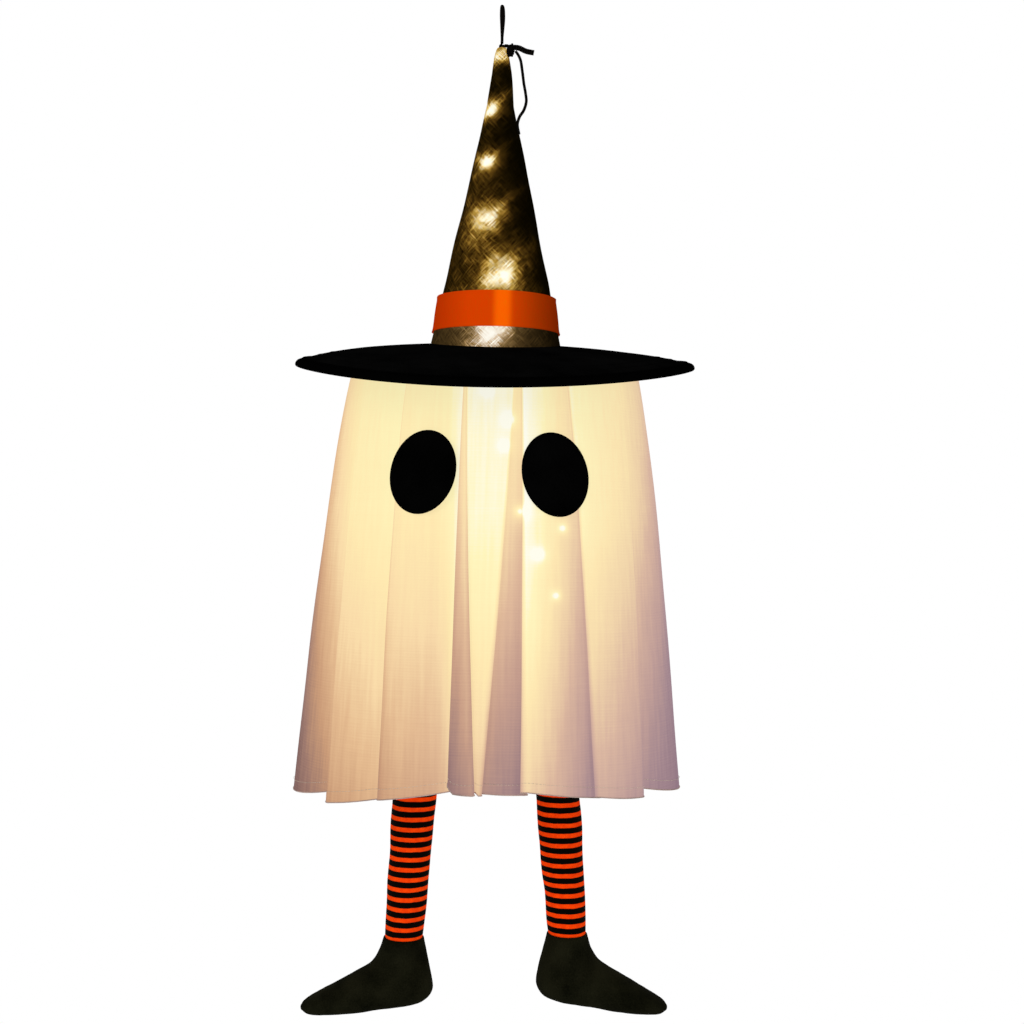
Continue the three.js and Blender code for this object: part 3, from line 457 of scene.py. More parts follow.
def tube(path, width, thickness=None, sides=12, across=(0, 1, 0), loop=False, square=1.0, shape=None):
    """A tube along a path, with its width along across at the start, added to a shape or to a new one

    A square under 1 makes its section boxy.
    """
    shape = shape or Shape()
    path = np.array(path, float)
    ahead = np.roll(path, -1, axis=0) - np.roll(path, 1, axis=0)
    if not loop:
        ahead[0] = path[1] - path[0]
        ahead[-1] = path[-1] - path[-2]
    ahead /= np.linalg.norm(ahead, axis=1)[:, None]
    turns = ring_angles(sides)
    side_share = signed_power(np.cos(turns), square) * width / 2
    top_share = signed_power(np.sin(turns), square) * (thickness or width) / 2
    side = np.array(across, float)
    rows = []
    for point, way in zip(path, ahead):
        side = side - way * side.dot(way)
        side /= np.linalg.norm(side)
        top = np.cross(way, side)
        rows.append(point + side_share[:, None] * side + top_share[:, None] * top)
    along = np.repeat(run_along(path), sides)
    around = np.tile(np.minimum(turns, 2 * math.pi - turns) / math.pi, len(path))
    faces = ring_faces(len(path), sides, loop=loop, capped=not loop)
    shape.add(rows, faces, along=along, around=around)
    return shape


def wear(obj, look, slot):
    obj.data.materials.clear()
    obj.data.materials.append(look)
    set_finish(obj, slot)


def dress(obj, look, slot, body, *nodes):
    """A finished piece: its material, the CAD body that it rides on and the nodes that it stands for"""
    wear(obj, look, slot)
    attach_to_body(obj, body)
    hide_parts(*nodes)
    return obj


def attach(obj, look, parent):
    """A small piece that belongs to a larger one"""
    wear(obj, look, parent["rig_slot"])
    obj.parent = parent
    return obj


def piece(name, points, faces, look, slot, body, *nodes, sheet=0, **values):
    """One finished piece: a closed form, or a sheet that gets its thickness"""
    shape = Shape()
    shape.add(points, faces, **values)
    obj = shape.make(name, closed=not sheet)
    if sheet:
        solidify(obj, sheet)
    return dress(obj, look, slot, body, *nodes)


def stitches(name, lines, parent, length=3.2, pitch=4.6, thread=0.55, look=None):
    """Rows of thread stitches on lines of points that lie on the cloth"""
    shape = Shape()
    for line in lines:
        points = even_steps(line, pitch)
        for a, b in zip(points, points[1:]):
            way = (b - a) / np.linalg.norm(b - a)
            stitch = [a, a + way * length / 2, a + way * length]
            tube(stitch, thread, sides=5, across=(0.3, 0.5, 0.81), shape=shape)
    attach(shape.make(name), look or thread_look, parent)


# Materials

class Value:
    """An output of a node graph, which takes Python's own operators"""

    def __init__(self, look, socket):
        self.look = look
        self.socket = socket

    def calculate(self, operation, other):
        return self.look.math(operation, self, other)

    __add__ = partialmethod(calculate, "ADD")
    __sub__ = partialmethod(calculate, "SUBTRACT")
    __mul__ = partialmethod(calculate, "MULTIPLY")
    __truediv__ = partialmethod(calculate, "DIVIDE")
    __pow__ = partialmethod(calculate, "POWER")


class Nodes:
    """A material's node graph, written from its inputs to its shader"""

    def __init__(self, name, **shader):
        self.material = bpy.data.materials.new(name)
        self.material.use_nodes = True
        self.tree = self.material.node_tree
        self.shader = self.tree.nodes["Principled BSDF"]
        for key, value in shader.items():
            self.shader.inputs[key.replace("_", " ").title().replace("Ior", "IOR")].default_value = value

    def put(self, value, socket):
        if isinstance(value, Value):
            self.tree.links.new(value.socket, socket)
        else:
            socket.default_value = value

    def node(self, kind, inputs=(), **settings):
        node = self.tree.nodes.new("ShaderNode" + kind)
        for key, value in settings.items():
            setattr(node, key, value)
        for key, value in dict(inputs).items():
            self.put(value, node.inputs[key])
        return node

    def add(self, kind, inputs=(), output=0, **settings):
        return Value(self, self.node(kind, inputs, **settings).outputs[output])

    def math(self, operation, a, b=0.0):
        return self.add("Math", {0: a, 1: b}, operation=operation)

    def place(self):
        return self.add("TexCoord", output="Object")

    def axes(self):
        """The object place along X, Y and Z"""
        return [Value(self, socket) for socket in self.node("SeparateXYZ", {0: self.place()}).outputs]

    def value(self, name):
        """A value that the mesh holds at its points"""
        return self.add("Attribute", output="Fac", attribute_name=name)

    def noise(self, scale, detail=2.0, vector=None):
        return self.add("TexNoise", {"Vector": vector or self.place(), "Scale": scale, "Detail": detail})

    def stretched_noise(self, x, y, z, detail):
        place = self.add("Mapping", {"Vector": self.place(), "Scale": (x, y, z)})
        return self.noise(1.0, detail, place)

    def sine(self, value, period):
        """A wave from 0 to 1 with that period"""
        return self.math("SINE", value * (2 * math.pi / period)) * 0.5 + 0.5

    def ramp(self, value, stops):
        node = self.node("ValToRGB", {0: value})
        elements = node.color_ramp.elements
        while len(elements) < len(stops):
            elements.new(0.5)
        for element, (at, colour) in zip(elements, stops):
            element.position = at
            element.color = (*colour, 1)
        return Value(self, node.outputs[0])

    def blend(self, share, a, b, how="MIX"):
        node = self.node("Mix", data_type="RGBA", blend_type=how)
        self.put(share, node.inputs[0])
        for number, colour in ((6, a), (7, b)):
            self.put((*colour, 1) if isinstance(colour, tuple) else colour, node.inputs[number])
        return Value(self, node.outputs[2])

    def times(self, colour, factor):
        return self.blend(1.0, colour, factor, "MULTIPLY")

    def window(self, value, low, high, start=0.0, end=1.0):
        """Goes from start to end while a value goes from low to high"""
        inputs = {"Value": value, "From Min": low, "From Max": high, "To Min": start, "To Max": end}
        return self.add("MapRange", inputs)

    def colour(self, value):
        self.put(value, self.shader.inputs["Base Color"])

    def shade(self, value, *stops):
        self.colour(self.ramp(value, stops))

    def rough(self, value, low, high):
        """Roughness from low to high while a value goes from 0 to 1"""
        self.put(self.window(value, 0, 1, low, high), self.shader.inputs["Roughness"])

    def bump(self, height, depth, strength=1.0):
        """Bump of a depth in millimetres"""
        normal = self.add("Bump", {"Height": height, "Distance": depth * MM, "Strength": strength})
        self.put(normal, self.shader.inputs["Normal"])

    def glow(self, colour, strength=1.0):
        self.put(colour, self.shader.inputs["Emission Color"])
        self.shader.inputs["Emission Strength"].default_value = strength


def grey(tone):
    return (tone, tone, tone)


def dull(name, roughness=0.5, shine=0.0):
    """The start of a material with little or no mirror shine, such as cloth"""
    return Nodes(name, roughness=roughness, specular_ior_level=shine)


def thread_material():
    look = dull("thread", 0.8)
    look.shade(look.noise(2500), (0.3, grey(0.0005)), (0.7, grey(0.003)))
    look.bump(look.noise(4000), 0.1)
    return look.material


def cord_material():
    """Black plait whose strands wind round the cord both ways"""
    pitch = 2.2
    look = dull("cord", 0.85)
    along = look.value("along")
    lean = look.value("around") * 2.4
    strands = look.math("MAXIMUM", look.sine(along + lean, pitch), look.sine(along - lean, pitch))
    look.shade(strands, (0.2, grey(0.0005)), (1, (0.006, 0.005, 0.004)))
    look.bump(strands, 0.35)
    return look.material


def hatch(look, along, across):
    """Fine uneven scratches of thread that run along one direction of the cloth"""
    return look.noise(1.0, 2, look.add("CombineXYZ", {0: along * 0.045, 1: across * 1.35}))


def crown_material():
    """Black cloth with slanting threads and painted light from the lamps inside, gold along the threads and
    paler below the band
    """
    look = dull("crown_cloth")
    across = look.value("across")
    down = look.value("down")
    rising = across + down
    falling = across - down
    scratches = look.math("MAXIMUM", hatch(look, rising, falling), hatch(look, falling, rising))
    threads = look.window(scratches, 0.5, 0.68)
    light = look.value("light") * look.window(look.noise(55), 0.3, 0.7, 0.7, 1.2)
    lit = light * (threads * 1.25 + 0.42) + light ** 3 * 0.7
    warm = look.ramp(lit, [
        (0, (0, 0, 0)),
        (0.1, (0.006, 0.0035, 0.0003)),
        (0.28, (0.07, 0.034, 0.005)),
        (0.5, (0.40, 0.205, 0.026)),
        (0.72, (0.95, 0.63, 0.12)),
        (0.88, (1, 0.90, 0.42)),
        (1, (1, 1, 0.88)),
    ])
    pale = look.ramp(lit, [
        (0, (0, 0, 0)),
        (0.25, (0.10, 0.058, 0.018)),
        (0.55, (0.55, 0.34, 0.13)),
        (0.85, (1, 0.96, 0.86)),
    ])
    look.glow(look.blend(look.window(down, 255, 285), warm, pale))
    look.shade(threads, (0.1, (0.0005, 0.0004, 0.0001)), (1, (0.004, 0.003, 0.0005)))
    look.rough(threads, 0.85, 0.6)
    look.bump(threads, 0.12)
    return look.material


def band_material():
    """Orange satin with painted light through it, brighter where a light stands behind its front, painted
    shade towards its edges, most at the right, and painted sheen in soft streaks
    """
    edge = CROWN_FOOT_RADIUS * MM
    patch_x = 0.0065
    patch_reach = 0.0085
    look = dull("band_satin")
    x, y = look.axes()[:2]
    sheen = look.stretched_noise(900, 900, 120, 3)
    # Painted shade: darker towards the left and right, most towards the right
    tone = look.ramp(look.window(x, -edge, edge), [
        (0.02, (0.42, 0.040, 0.0004)),
        (0.3, (0.62, 0.064, 0.0004)),
        (0.6, (0.60, 0.068, 0.0004)),
        (0.8, (0.33, 0.044, 0.0004)),
        (1, (0.16, 0.02, 0.0003)),
    ])
    # Painted sheen: soft vertical streaks of light and shade on the satin
    tone = look.blend(sheen * 0.6, tone, (1.0, 0.16, 0.002), "SOFT_LIGHT")
    off = look.math("ABSOLUTE", (x - patch_x) / patch_reach)
    patch = look.math("EXPONENT", off ** 4 * -1) * look.math("LESS_THAN", y, 0)
    # Painted light through the satin all round, stronger at the patch in front
    look.glow(look.times(tone, look.blend(patch, grey(0.55), (1.0, 1.8, 1.0))))
    look.colour(look.times(tone, grey(0.5)))
    look.rough(sheen, 0.45, 0.7)
    look.bump(look.sine(look.value("across") + look.value("down"), 1.3), 0.06)
    return look.material


def felt_material(name, low, high):
    look = dull(name, 0.95)
    hairs = look.noise(900, 5)
    look.shade((hairs + look.noise(25, 2)) * 0.5, (0.35, grey(low)), (0.65, grey(high)))
    look.bump(hairs, 0.3, 0.6)
    return look.material


def ribbed_material(name, low, high, period, depth):
    """Tape with ribs across it"""
    look = dull(name, 0.9)
    ribs = look.sine(look.value("along"), period)
    look.shade(ribs * look.window(look.noise(300), 0, 1, 0.7, 1.0), (0, grey(low)), (1, grey(high)))
    look.bump(ribs, depth)
    return look.material


def steel_material():
    look = Nodes("steel_wire", metallic=1.0)
    drawn = look.noise(400, 3)
    look.shade(drawn, (0.3, grey(0.30)), (0.7, (0.52, 0.52, 0.50)))
    look.rough(drawn, 0.25, 0.45)
    look.bump(drawn, 0.03)
    return look.material


def grained_material(name, colour, rough, grain=1800, depth=0.04, metallic=0.0):
    """Moulded or coated surface with a fine grain, a little lighter where it is rubbed"""
    look = Nodes(name, metallic=metallic)
    speck = look.noise(grain, 3)
    worn = look.noise(60, 2)
    dark = tuple(0.7 * c for c in colour)
    light = tuple(min(1, 1.35 * c) for c in colour)
    look.shade(worn * 0.6 + speck * 0.4, (0.35, dark), (0.65, light))
    look.rough(worn, rough - 0.08, rough + 0.1)
    look.bump(speck, depth)
    return look.material


def cell_material():
    """Battery jacket with a lighter band towards its nub and bare metal at both ends"""
    foot_z = -0.3342
    nub_z = -0.284
    metal = (0.6, 0.58, 0.55)
    jacket = (0.05, 0.065, 0.075)
    band = (0.35, 0.30, 0.22)
    look = Nodes("cell_jacket")
    rise = look.window(look.axes()[2], foot_z, nub_z)
    print_of_jacket = look.ramp(rise, [
        (0, metal), (0.015, metal), (0.02, jacket), (0.70, jacket), (0.71, band), (0.97, jacket),
    ])
    look.colour(look.blend(look.noise(700), print_of_jacket, (0.09, 0.10, 0.11), "SCREEN"))
    look.rough(look.noise(80), 0.25, 0.4)
    look.bump(look.noise(300), 0.02)
    return look.material


def lens_material():
    look = Nodes("light_lens", roughness=0.15)
    look.shade(look.noise(900), (0.3, (0.8, 0.66, 0.4)), (0.7, (1, 0.86, 0.6)))
    look.glow(look.ramp(look.noise(500), [(0.3, (1, 0.66, 0.26)), (0.7, (1, 0.86, 0.55))]), 2.5)
    return look.material


def twill_material(name, low, high, depth=0.12):
    """Herringbone tape"""
    look = dull(name, 0.9, 0.15)
    x, _, z = look.axes()
    rows = look.sine((z + look.math("PINGPONG", x, 0.0025)) / MM, 1.4)
    look.shade(rows * look.window(look.noise(500), 0, 1, 0.6, 1.0), (0, low), (1, high))
    look.bump(rows, depth)
    return look.material


GLINT_SHIFT = 2.7
GLINT_SIZES = (2.6, 3.4)
# The gown from shade to light, with its colours on the cool right side and on the warm left side
GOWN_TONES = [
    (0, (0.27, 0.17, 0.22), (0.16, 0.085, 0.085)),
    (0.12, (0.38, 0.25, 0.28), (0.34, 0.19, 0.15)),
    (0.25, (0.54, 0.35, 0.32), (0.59, 0.33, 0.19)),
    (0.4, (0.70, 0.47, 0.36), (0.78, 0.50, 0.28)),
    (0.55, (0.88, 0.66, 0.41), (0.95, 0.71, 0.40)),
    (0.7, (0.99, 0.80, 0.45), (1, 0.82, 0.44)),
    (0.85, (1, 0.91, 0.52), (1, 0.91, 0.50)),
    (1, (1, 0.99, 0.86), (1, 0.99, 0.86)),
]


def glint(look, x, z, middle, size):
    """A small bright spot with a soft edge round a middle, from 0 outside to 1"""
    right = (x - (middle[0] + GLINT_SHIFT) * MM) / (size * MM)
    up = (z - middle[1] * MM) / (size * MM)
    return look.math("EXPONENT", look.math("SQRT", right * right + up * up) * -1)


def voile_material():
    """Thin pale cloth with painted light from the lamps inside, in its glow and its colour: the light value
    goes from mauve shade to cream light
    """
    look = dull("gown_voile", 0.9, 0.1)
    across = look.value("across")
    down = look.value("down")
    weave = look.sine(down, 2.6) * 0.012 + look.stretched_noise(30, 30, 900, 3) * 0.05
    # Painted light and shade in soft vertical streaks
    drift = look.stretched_noise(260, 260, 9, 2) * 0.12 - 0.09
    light = look.value("light") + (weave + drift)
    x, y, z = look.axes()
    front = look.math("LESS_THAN", y, 0)
    # Painted glints where the lamps show through the front
    for number, middle in enumerate(BODY_LIGHTS):
        shine = glint(look, x, z, middle, GLINT_SIZES[number % 2]) * front
        light = light + shine * 0.75
    cool = look.ramp(light, [(at, tone) for at, tone, _ in GOWN_TONES])
    warm = look.ramp(light, [(at, tone) for at, _, tone in GOWN_TONES])
    cloth = look.blend(look.value("warm"), cool, warm)
    look.glow(look.times(cloth, grey(0.84)))
    look.colour(look.times(cloth, (0.17, 0.165, 0.16)))
    look.bump(look.sine(across, 1.1) * look.sine(down, 1.1), 0.08)
    return look.material


STRIPE_PITCH = 9.98
STRIPE_BLACK = 5.8
ANKLE_BAND = 3.4


def stocking_material():
    """Black rings on orange, counted from the ankle up, with a faint painted glow on the orange"""
    look = dull("stocking", 0.85, 0.02)
    rise = look.value("rise")
    wobble = look.noise(120, 2) * 0.9 - 0.45
    ring = look.math("FRACT", (rise + wobble - ANKLE_BAND) / STRIPE_PITCH)
    end = STRIPE_BLACK / STRIPE_PITCH
    stripe = look.ramp(ring, [(0, grey(0)), (0.03, grey(1)), (end, grey(1)), (end + 0.03, grey(0))])
    knit = look.sine(look.value("across"), 1.5) * look.sine(rise, 1.2)
    orange = look.ramp(look.noise(200) * 0.7 + knit * 0.3, [
        (0.3, (0.72, 0.030, 0.0005)), (0.7, (1.0, 0.070, 0.001)),
    ])
    black = look.ramp(knit, [(0, (0.0006, 0.0005, 0.0004)), (1, (0.005, 0.0035, 0.002))])
    look.colour(look.blend(stripe, orange, black))
    # Painted light: the orange rings glow a little
    look.glow(look.blend(stripe, (0.14, 0.012, 0.0005), (0, 0, 0)))
    look.bump(knit, 0.15)
    return look.material


def foot_material():
    look = dull("foot_cloth", 0.92, 0.01)
    nap = look.noise(700, 5)
    shade = look.noise(40, 2) * 0.6 + nap * 0.4
    look.shade(shade, (0.35, (0.0025, 0.0027, 0.0012)), (0.65, (0.0105, 0.0105, 0.005)))
    look.bump(nap, 0.25, 0.7)
    return look.material


thread_look = thread_material()
pale_thread_look = grained_material("pale_thread", (0.55, 0.46, 0.36), 0.85, 2500)
hem_look = grained_material("gown_hem", (0.42, 0.30, 0.26), 0.9, 1200)
cord_look = cord_material()
crown_look = crown_material()
band_look = band_material()
felt_look = felt_material("black_felt", 0.0006, 0.0032)
eye_look = felt_material("eye_felt", 0.0004, 0.0018)
binding_look = ribbed_material("brim_tape", 0.0003, 0.0012, 1.6, 0.15)
steel_look = steel_material()
tape_look = twill_material("cotton_tape", (0.42, 0.37, 0.29), (0.66, 0.60, 0.50))
voile_look = voile_material()
stocking_look = stocking_material()
foot_look = foot_material()


# Colour, roughness, grain, depth of the grain and metallic
CAD_LOOKS = {
    "case_plastic": ((0.014, 0.014, 0.015), 0.5),
    "switch_plastic": ((0.5, 0.5, 0.48), 0.45),
    "grommet_rubber": ((0.02, 0.02, 0.02), 0.8, 900),
    "contact_metal": ((0.6, 0.58, 0.5), 0.3, 600, 0.02, 1.0),
    "lead_wire": ((0.30, 0.19, 0.09), 0.45, 500),
}


def dress_cad_nodes():
    """Better materials on the model's own solids"""
    looks = {slot: grained_material(slot, *settings) for slot, settings in CAD_LOOKS.items()}
    looks.update(cell_jacket=cell_material(), light_lens=lens_material(), steel_wire=steel_look)
    nodes = {
        "steel_wire": ["brim_wire", "body_hoop", "hoop_crossbar", "left_leg_ring", "right_leg_ring"],
        "case_plastic": ["battery_case", "battery_cover"],
        "switch_plastic": ["switch_slider"],
        "contact_metal": ["contact_plate_upper", "contact_plate_lower"],
        "grommet_rubber": ["lead_grommet"],
        "lead_wire": ["crown_lead", "body_lead"],
        "cell_jacket": [f"battery_cell_{number}" for number in (1, 2, 3)],
        "light_lens": [f"light_{number:02d}" for number in range(1, LIGHT_COUNT + 1)],
    }
    for slot, names in nodes.items():
        for name in names:
            wear(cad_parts[name], looks[slot], slot)


dress_cad_nodes()

# Hanging cord

SIDE_KNOT_TURN = math.radians(38)
SIDE_KNOT_Z = KNOT_Z + 1.5 - SIDE_KNOT_LENGTH / 2
STRAND_START = 7.5
# The bow of the loose strand from its start on the knot: to the right, backwards and down
STRAND_BOW = [
    (-0.7, 0, -1.5), (2.2, 0.4, 2.5), (4.4, 1.2, 7), (6.4, 2.4, 17.5), (8.2, 3.4, 29.5),
    (10.2, 4.2, 39.5), (11, 4.4, 47.5), (8.6, 3.4, 56.5), (4.6, 1.4, 63.5),
]
STRAND_RESTS = (72.5, 82)
STRAND_TURN = math.radians(28)
# The cord from the hat's tip towards the side knot
BRIDGE_START = [(3.2, -2.5, -40.6), (5.6, -4.4, -41.4)]
# The flat tail from the side knot: to the right as a share of its length, backwards and up
TAIL_BOW = [(0, 0, 0), (0.35, 0, -0.3), (0.7, 0.3, -3.4), (1.06, 0.6, -4.8)]


def side_knot_place():
    shares = np.arange(-1, 1.01, 0.1)
    half = SIDE_KNOT_WIDTH / 2 * np.sqrt(np.clip(1 - shares ** 2, 0, 1))
    reach = np.max(crown_outer(SIDE_KNOT_Z + shares * SIDE_KNOT_LENGTH / 2) + GAP + half)
    return np.array([reach * math.cos(SIDE_KNOT_TURN), -reach * math.sin(SIDE_KNOT_TURN), SIDE_KNOT_Z])


def free_cord(name, points, body, node):
    """A limp cord, pressed a little flat"""
    path = curve(points, 0.8)
    shape = tube(path, LOOP_CORD * 1.25, LOOP_CORD * 0.8, across=(1, 0.2, 0))
    obj = dress(shape.make(name), cord_look, "cord", body, node)
    path = path * MM


def hanging_loop():
    foot = LOOP_CORD / 2 + GAP / 2
    end = KNOT_Z + math.sqrt((KNOT_RADIUS + GAP) ** 2 - (GAP / 2) ** 2)
    side = [
        (0, foot, end),
        (0, foot * 1.1, KNOT_Z * 0.8),
        (0.6, LOOP_SPREAD * 0.6, KNOT_Z * 0.54),
        (1.2, LOOP_SPREAD, KNOT_Z * 0.27),
        (0.9, LOOP_SPREAD * 0.68, KNOT_Z * 0.065),
    ]
    other = [(-x, -y, z) for x, y, z in side]
    points = [*other, (0, 0, 0), *reversed(side)]
    free_cord("loop_cord", points, "hanger", "hanging_loop")


def loose_strand():
    """The long end of the cord: a bow beside the hat, then a rest against the crown"""
    place = side_knot_place()
    top = KNOT_Z - STRAND_START
    start = place[0] + (SIDE_KNOT_WIDTH + LOOP_CORD) / 2 + GAP

    def rest(z):
        return float(crown_outer(z)) + GAP + LOOP_CORD / 2 + 0.1

    points = [[start + right, place[1] + back, top - down] for right, back, down in STRAND_BOW]
    points[-1][0] = max(points[-1][0], rest(points[-1][2]))
    for down in STRAND_RESTS:
        reach = rest(top - down)
        points.append([reach * math.cos(STRAND_TURN), -reach * math.sin(STRAND_TURN), top - down])
    free_cord("strand_cord", points, "ghost", "loose_strand")


def wound_core(shape, middle, half_width, half_height):
    """A plain lump inside a knot, which fills it between its turns"""
    rows = 9
    columns = 16
    end = math.pi / 2 - 0.2
    turns = np.linspace(end, -end, rows)
    points = turned(half_width * np.cos(turns), half_height * np.sin(turns), columns) + middle
    plain = np.zeros(len(points))
    shape.add(points, ring_faces(rows, columns, capped=True), along=plain, around=plain)


def tip_knot():
    """A trefoil of cord round a core"""
    turns = ring_angles(72)
    size = (KNOT_RADIUS - LOOP_CORD / 2) / 3
    x = size * (np.sin(turns) + 2 * np.sin(2 * turns))
    y = -1.8 * size * np.sin(3 * turns)
    z = size * (np.cos(turns) - 2 * np.cos(2 * turns))
    shape = tube(xyz(x, y, z + KNOT_Z), LOOP_CORD, sides=10, across=(0, 0.8, 0.6), loop=True)
    wound_core(shape, (0, 0, KNOT_Z), 2.0, 2.0)
    dress(shape.make("knot_cord"), cord_look, "cord", "knot", "tip_knot")


def knot_turns(place):
    """Five turns of cord, with one strap across their front"""
    down = np.linspace(0, 1, 120)
    height = (SIDE_KNOT_LENGTH - LOOP_CORD) / 2
    z = height * (1 - 2 * down)
    radius = (SIDE_KNOT_WIDTH - LOOP_CORD) / 2 * np.sqrt(1 - (z / (height * 1.15)) ** 2)
    x = radius * np.cos(down * 10 * math.pi)
    y = radius * np.sin(down * 10 * math.pi)
    shape = tube(xyz(x, y, z + 0.28 * x) + place, LOOP_CORD, sides=10, across=(0, 0, 1))
    share = np.linspace(-1, 1, 24)
    strap = xyz(3.0 * share, -4.0 * np.cos(share * 1.2), 4.2 * share)
    return tube(strap + place, LOOP_CORD * 0.9, sides=10, across=(0, 0, 1), shape=shape)


def side_knot():
    """The second knot, a bridge of cord to it from the hat's tip, and its flat cut tail"""
    place = side_knot_place()
    shape = knot_turns(place)
    wound_core(shape, place, SIDE_KNOT_WIDTH / 2 - 1.4, SIDE_KNOT_LENGTH / 2 - 1.6)
    bridge = curve([*BRIDGE_START, place + (-1, 0.6, 2.5)], 0.6)
    tube(bridge, LOOP_CORD * 1.4, sides=10, across=(0, 0, 1), shape=shape)
    start = place + (0, 0, SIDE_KNOT_LENGTH * 0.22)
    tail = curve([start + (TAIL_LENGTH * right, back, up) for right, back, up in TAIL_BOW], 0.8)
    tube(tail, TAIL_WIDTH, TAIL_THICKNESS, sides=16, across=(0, 0, 1), square=0.5, shape=shape)
    dress(shape.make("side_knot_cord"), cord_look, "cord", "ghost", "side_knot")


hanging_loop()
loose_strand()
tip_knot()
side_knot()


# Hat

STITCH_LIFT = 0.1
# Rows of stitches on the brim, as distances from its rim
BRIM_ROWS = (22, 34)
BINDING_STITCHES = 1.6
GLOW_DEPTH = 30
# Where the lights show through the crown: x, z and size
CROWN_GLOWS = [
    (-0.8, -49.5, 1.45), (-9.8, -106.5, 1.35), (-12.6, -163.5, 1.2),
    (-11, -222, 1.85), (4, -276, 2.5), (-3.5, -332, 2.9),
]


def star(right, up):
    """Light round a lamp: a core and halo, with streaks to the upper right and upper left"""
    rising = (right + up) / math.sqrt(2)
    falling = (right - up) / math.sqrt(2)
    core = np.exp(-(right ** 2 + up ** 2) / 4.3 ** 2)
    halo = 0.42 * np.exp(-np.hypot(right, up) / 6.5)
    upper_right = 0.72 * np.exp(-np.abs(falling) / 3.4 - np.where(rising > 0, rising / 14, -rising / 9))
    upper_left = 0.5 * np.exp(-np.abs(rising) / 4.2 - np.where(falling < 0, -falling / 13, falling / 5))
    return core + halo + upper_right + upper_left


def crown_light(points):
    """How much painted light shows through the crown at each point"""
    x, y, z = points.T
    dark = np.ones(len(points))
    for lamp_x, lamp_z, size in CROWN_GLOWS:
        r = float(crown_outer(lamp_z)) - CROWN_WALL
        lamp_y = -math.sqrt(max(r * r - lamp_x * lamp_x, 0.01))
        near = bell(y - lamp_y, GLOW_DEPTH)
        dark *= np.exp(-1.1 * near * star((x - lamp_x) / size, (z - lamp_z) / size))
    # A faint painted glow all round, weaker towards the right, near the tip and low down by the band
    around = mix(0.14, 0.02, smooth(-0.4, 0.75, x / crown_outer(z))) * mix(0.45, 1, smooth(-90, -200, z))
    around *= mix(1, 0.6, smooth(-305, -318, z))
    return around + (1 - around) * (1 - dark)


def facing(points):
    """The angle of each point round the Z axis, from 0 at the front"""
    return np.arctan2(points[:, 0], -points[:, 1])


def crown():
    rows = 190
    columns = 160
    z = np.linspace(TIP_Z, FOOT_Z, rows)
    points = turned(crown_outer(z), z, columns)
    turn = facing(points)
    height = points[:, 2]
    drop = tilt(points[:, 1]) * np.clip((FOOT_Z + BAND_LIFT - height) / BAND_LIFT, 0, 1)
    r = crown_outer(height)
    above_band = height - FOOT_Z - BAND_LIFT - BAND_WIDTH
    loose = smooth(0, 20, above_band) * smooth(0, 30, TIP_Z - height)
    dents = waves(turn, (0.35, 3, height / 19), (0.25, 5, -height / 11))
    seam = 0.7 * bell((math.pi - np.abs(turn)) * r, 1.6)
    grow = crown_outer(height + drop) / r * (1 + loose * (dents + seam) / r)
    points[:, :2] *= grow[:, None]
    height += drop
    obj = piece("crown_cloth", points, ring_faces(rows, columns), crown_look, "crown_cloth", "ghost",
                "hat_crown", sheet=CROWN_WALL, light=crown_light(points), across=turn * r,
                down=TIP_Z - height)
    seam_z = z[12:-60]
    behind = crown_outer(seam_z) + 0.45
    stitches("crown_stitches", [xyz(x, behind, seam_z) for x in (-2.4, 2.4)], obj)


def hat_band():
    columns = 160
    rows = np.linspace(1, 0, 24)
    z = FOOT_Z + BAND_LIFT + 0.6 + BAND_WIDTH * rows
    proud = np.interp(rows, [0, 0.5, 1], [0, BAND_PROUD * 0.6, BAND_PROUD])
    edge = 0.5 * bell(np.minimum(rows, 1 - rows) * BAND_WIDTH, 1.6, 4)
    r = crown_outer(z) + GAP + proud + 0.05 + BAND_THICKNESS + edge
    points = turned(r, z, columns)
    turn = facing(points)
    up = np.repeat(rows, columns)
    ripple = 0.3 * up + 0.12 + waves(turn, (0.3 * up, 4, 0.6), (0.12, 23, 6 * up))
    lap = 0.8 * bell((math.pi - np.abs(turn)) * CROWN_FOOT_RADIUS, 5, 4)
    points[:, :2] *= (1 + (ripple + lap) / np.repeat(r, columns))[:, None]
    piece("band_cloth", points, ring_faces(len(rows), columns), band_look, "band_satin", "ghost", "hat_band",
          sheet=BAND_THICKNESS, across=turn * CROWN_FOOT_RADIUS, down=points[:, 2])


def brim_layer(name, under, node):
    columns = 180
    outer = BRIM_RADIUS - BINDING_WALL - GAP - RIM_WIRE - GAP
    radii = np.linspace(CROWN_FOOT_RADIUS - CROWN_WALL - BRIM_SEAM, outer, 60)
    points = turned(radii, 0, columns)
    points[:, 2] = brim_top(points[:, 0], points[:, 1]) - under
    return piece(name, points, ring_faces(len(radii), columns), felt_look, "black_felt", "ghost", node,
                 sheet=BRIM_CLOTH)


def ring_on_brim(radius, lift):
    turns = np.linspace(0, 2 * math.pi, 400)
    x = radius * np.cos(turns)
    y = radius * np.sin(turns)
    return xyz(x, y, brim_top(x, y) + lift)


def brim():
    upper = brim_layer("brim_felt_upper", 0, "brim_upper")
    lower = brim_layer("brim_felt_lower", BRIM_CLOTH + GAP, "brim_lower")
    for side, lift, layer in (("upper", STITCH_LIFT, upper), ("lower", -BRIM_STACK - STITCH_LIFT, lower)):
        stitches(f"brim_stitches_{side}", [ring_on_brim(BRIM_RADIUS - row, lift) for row in BRIM_ROWS], layer)


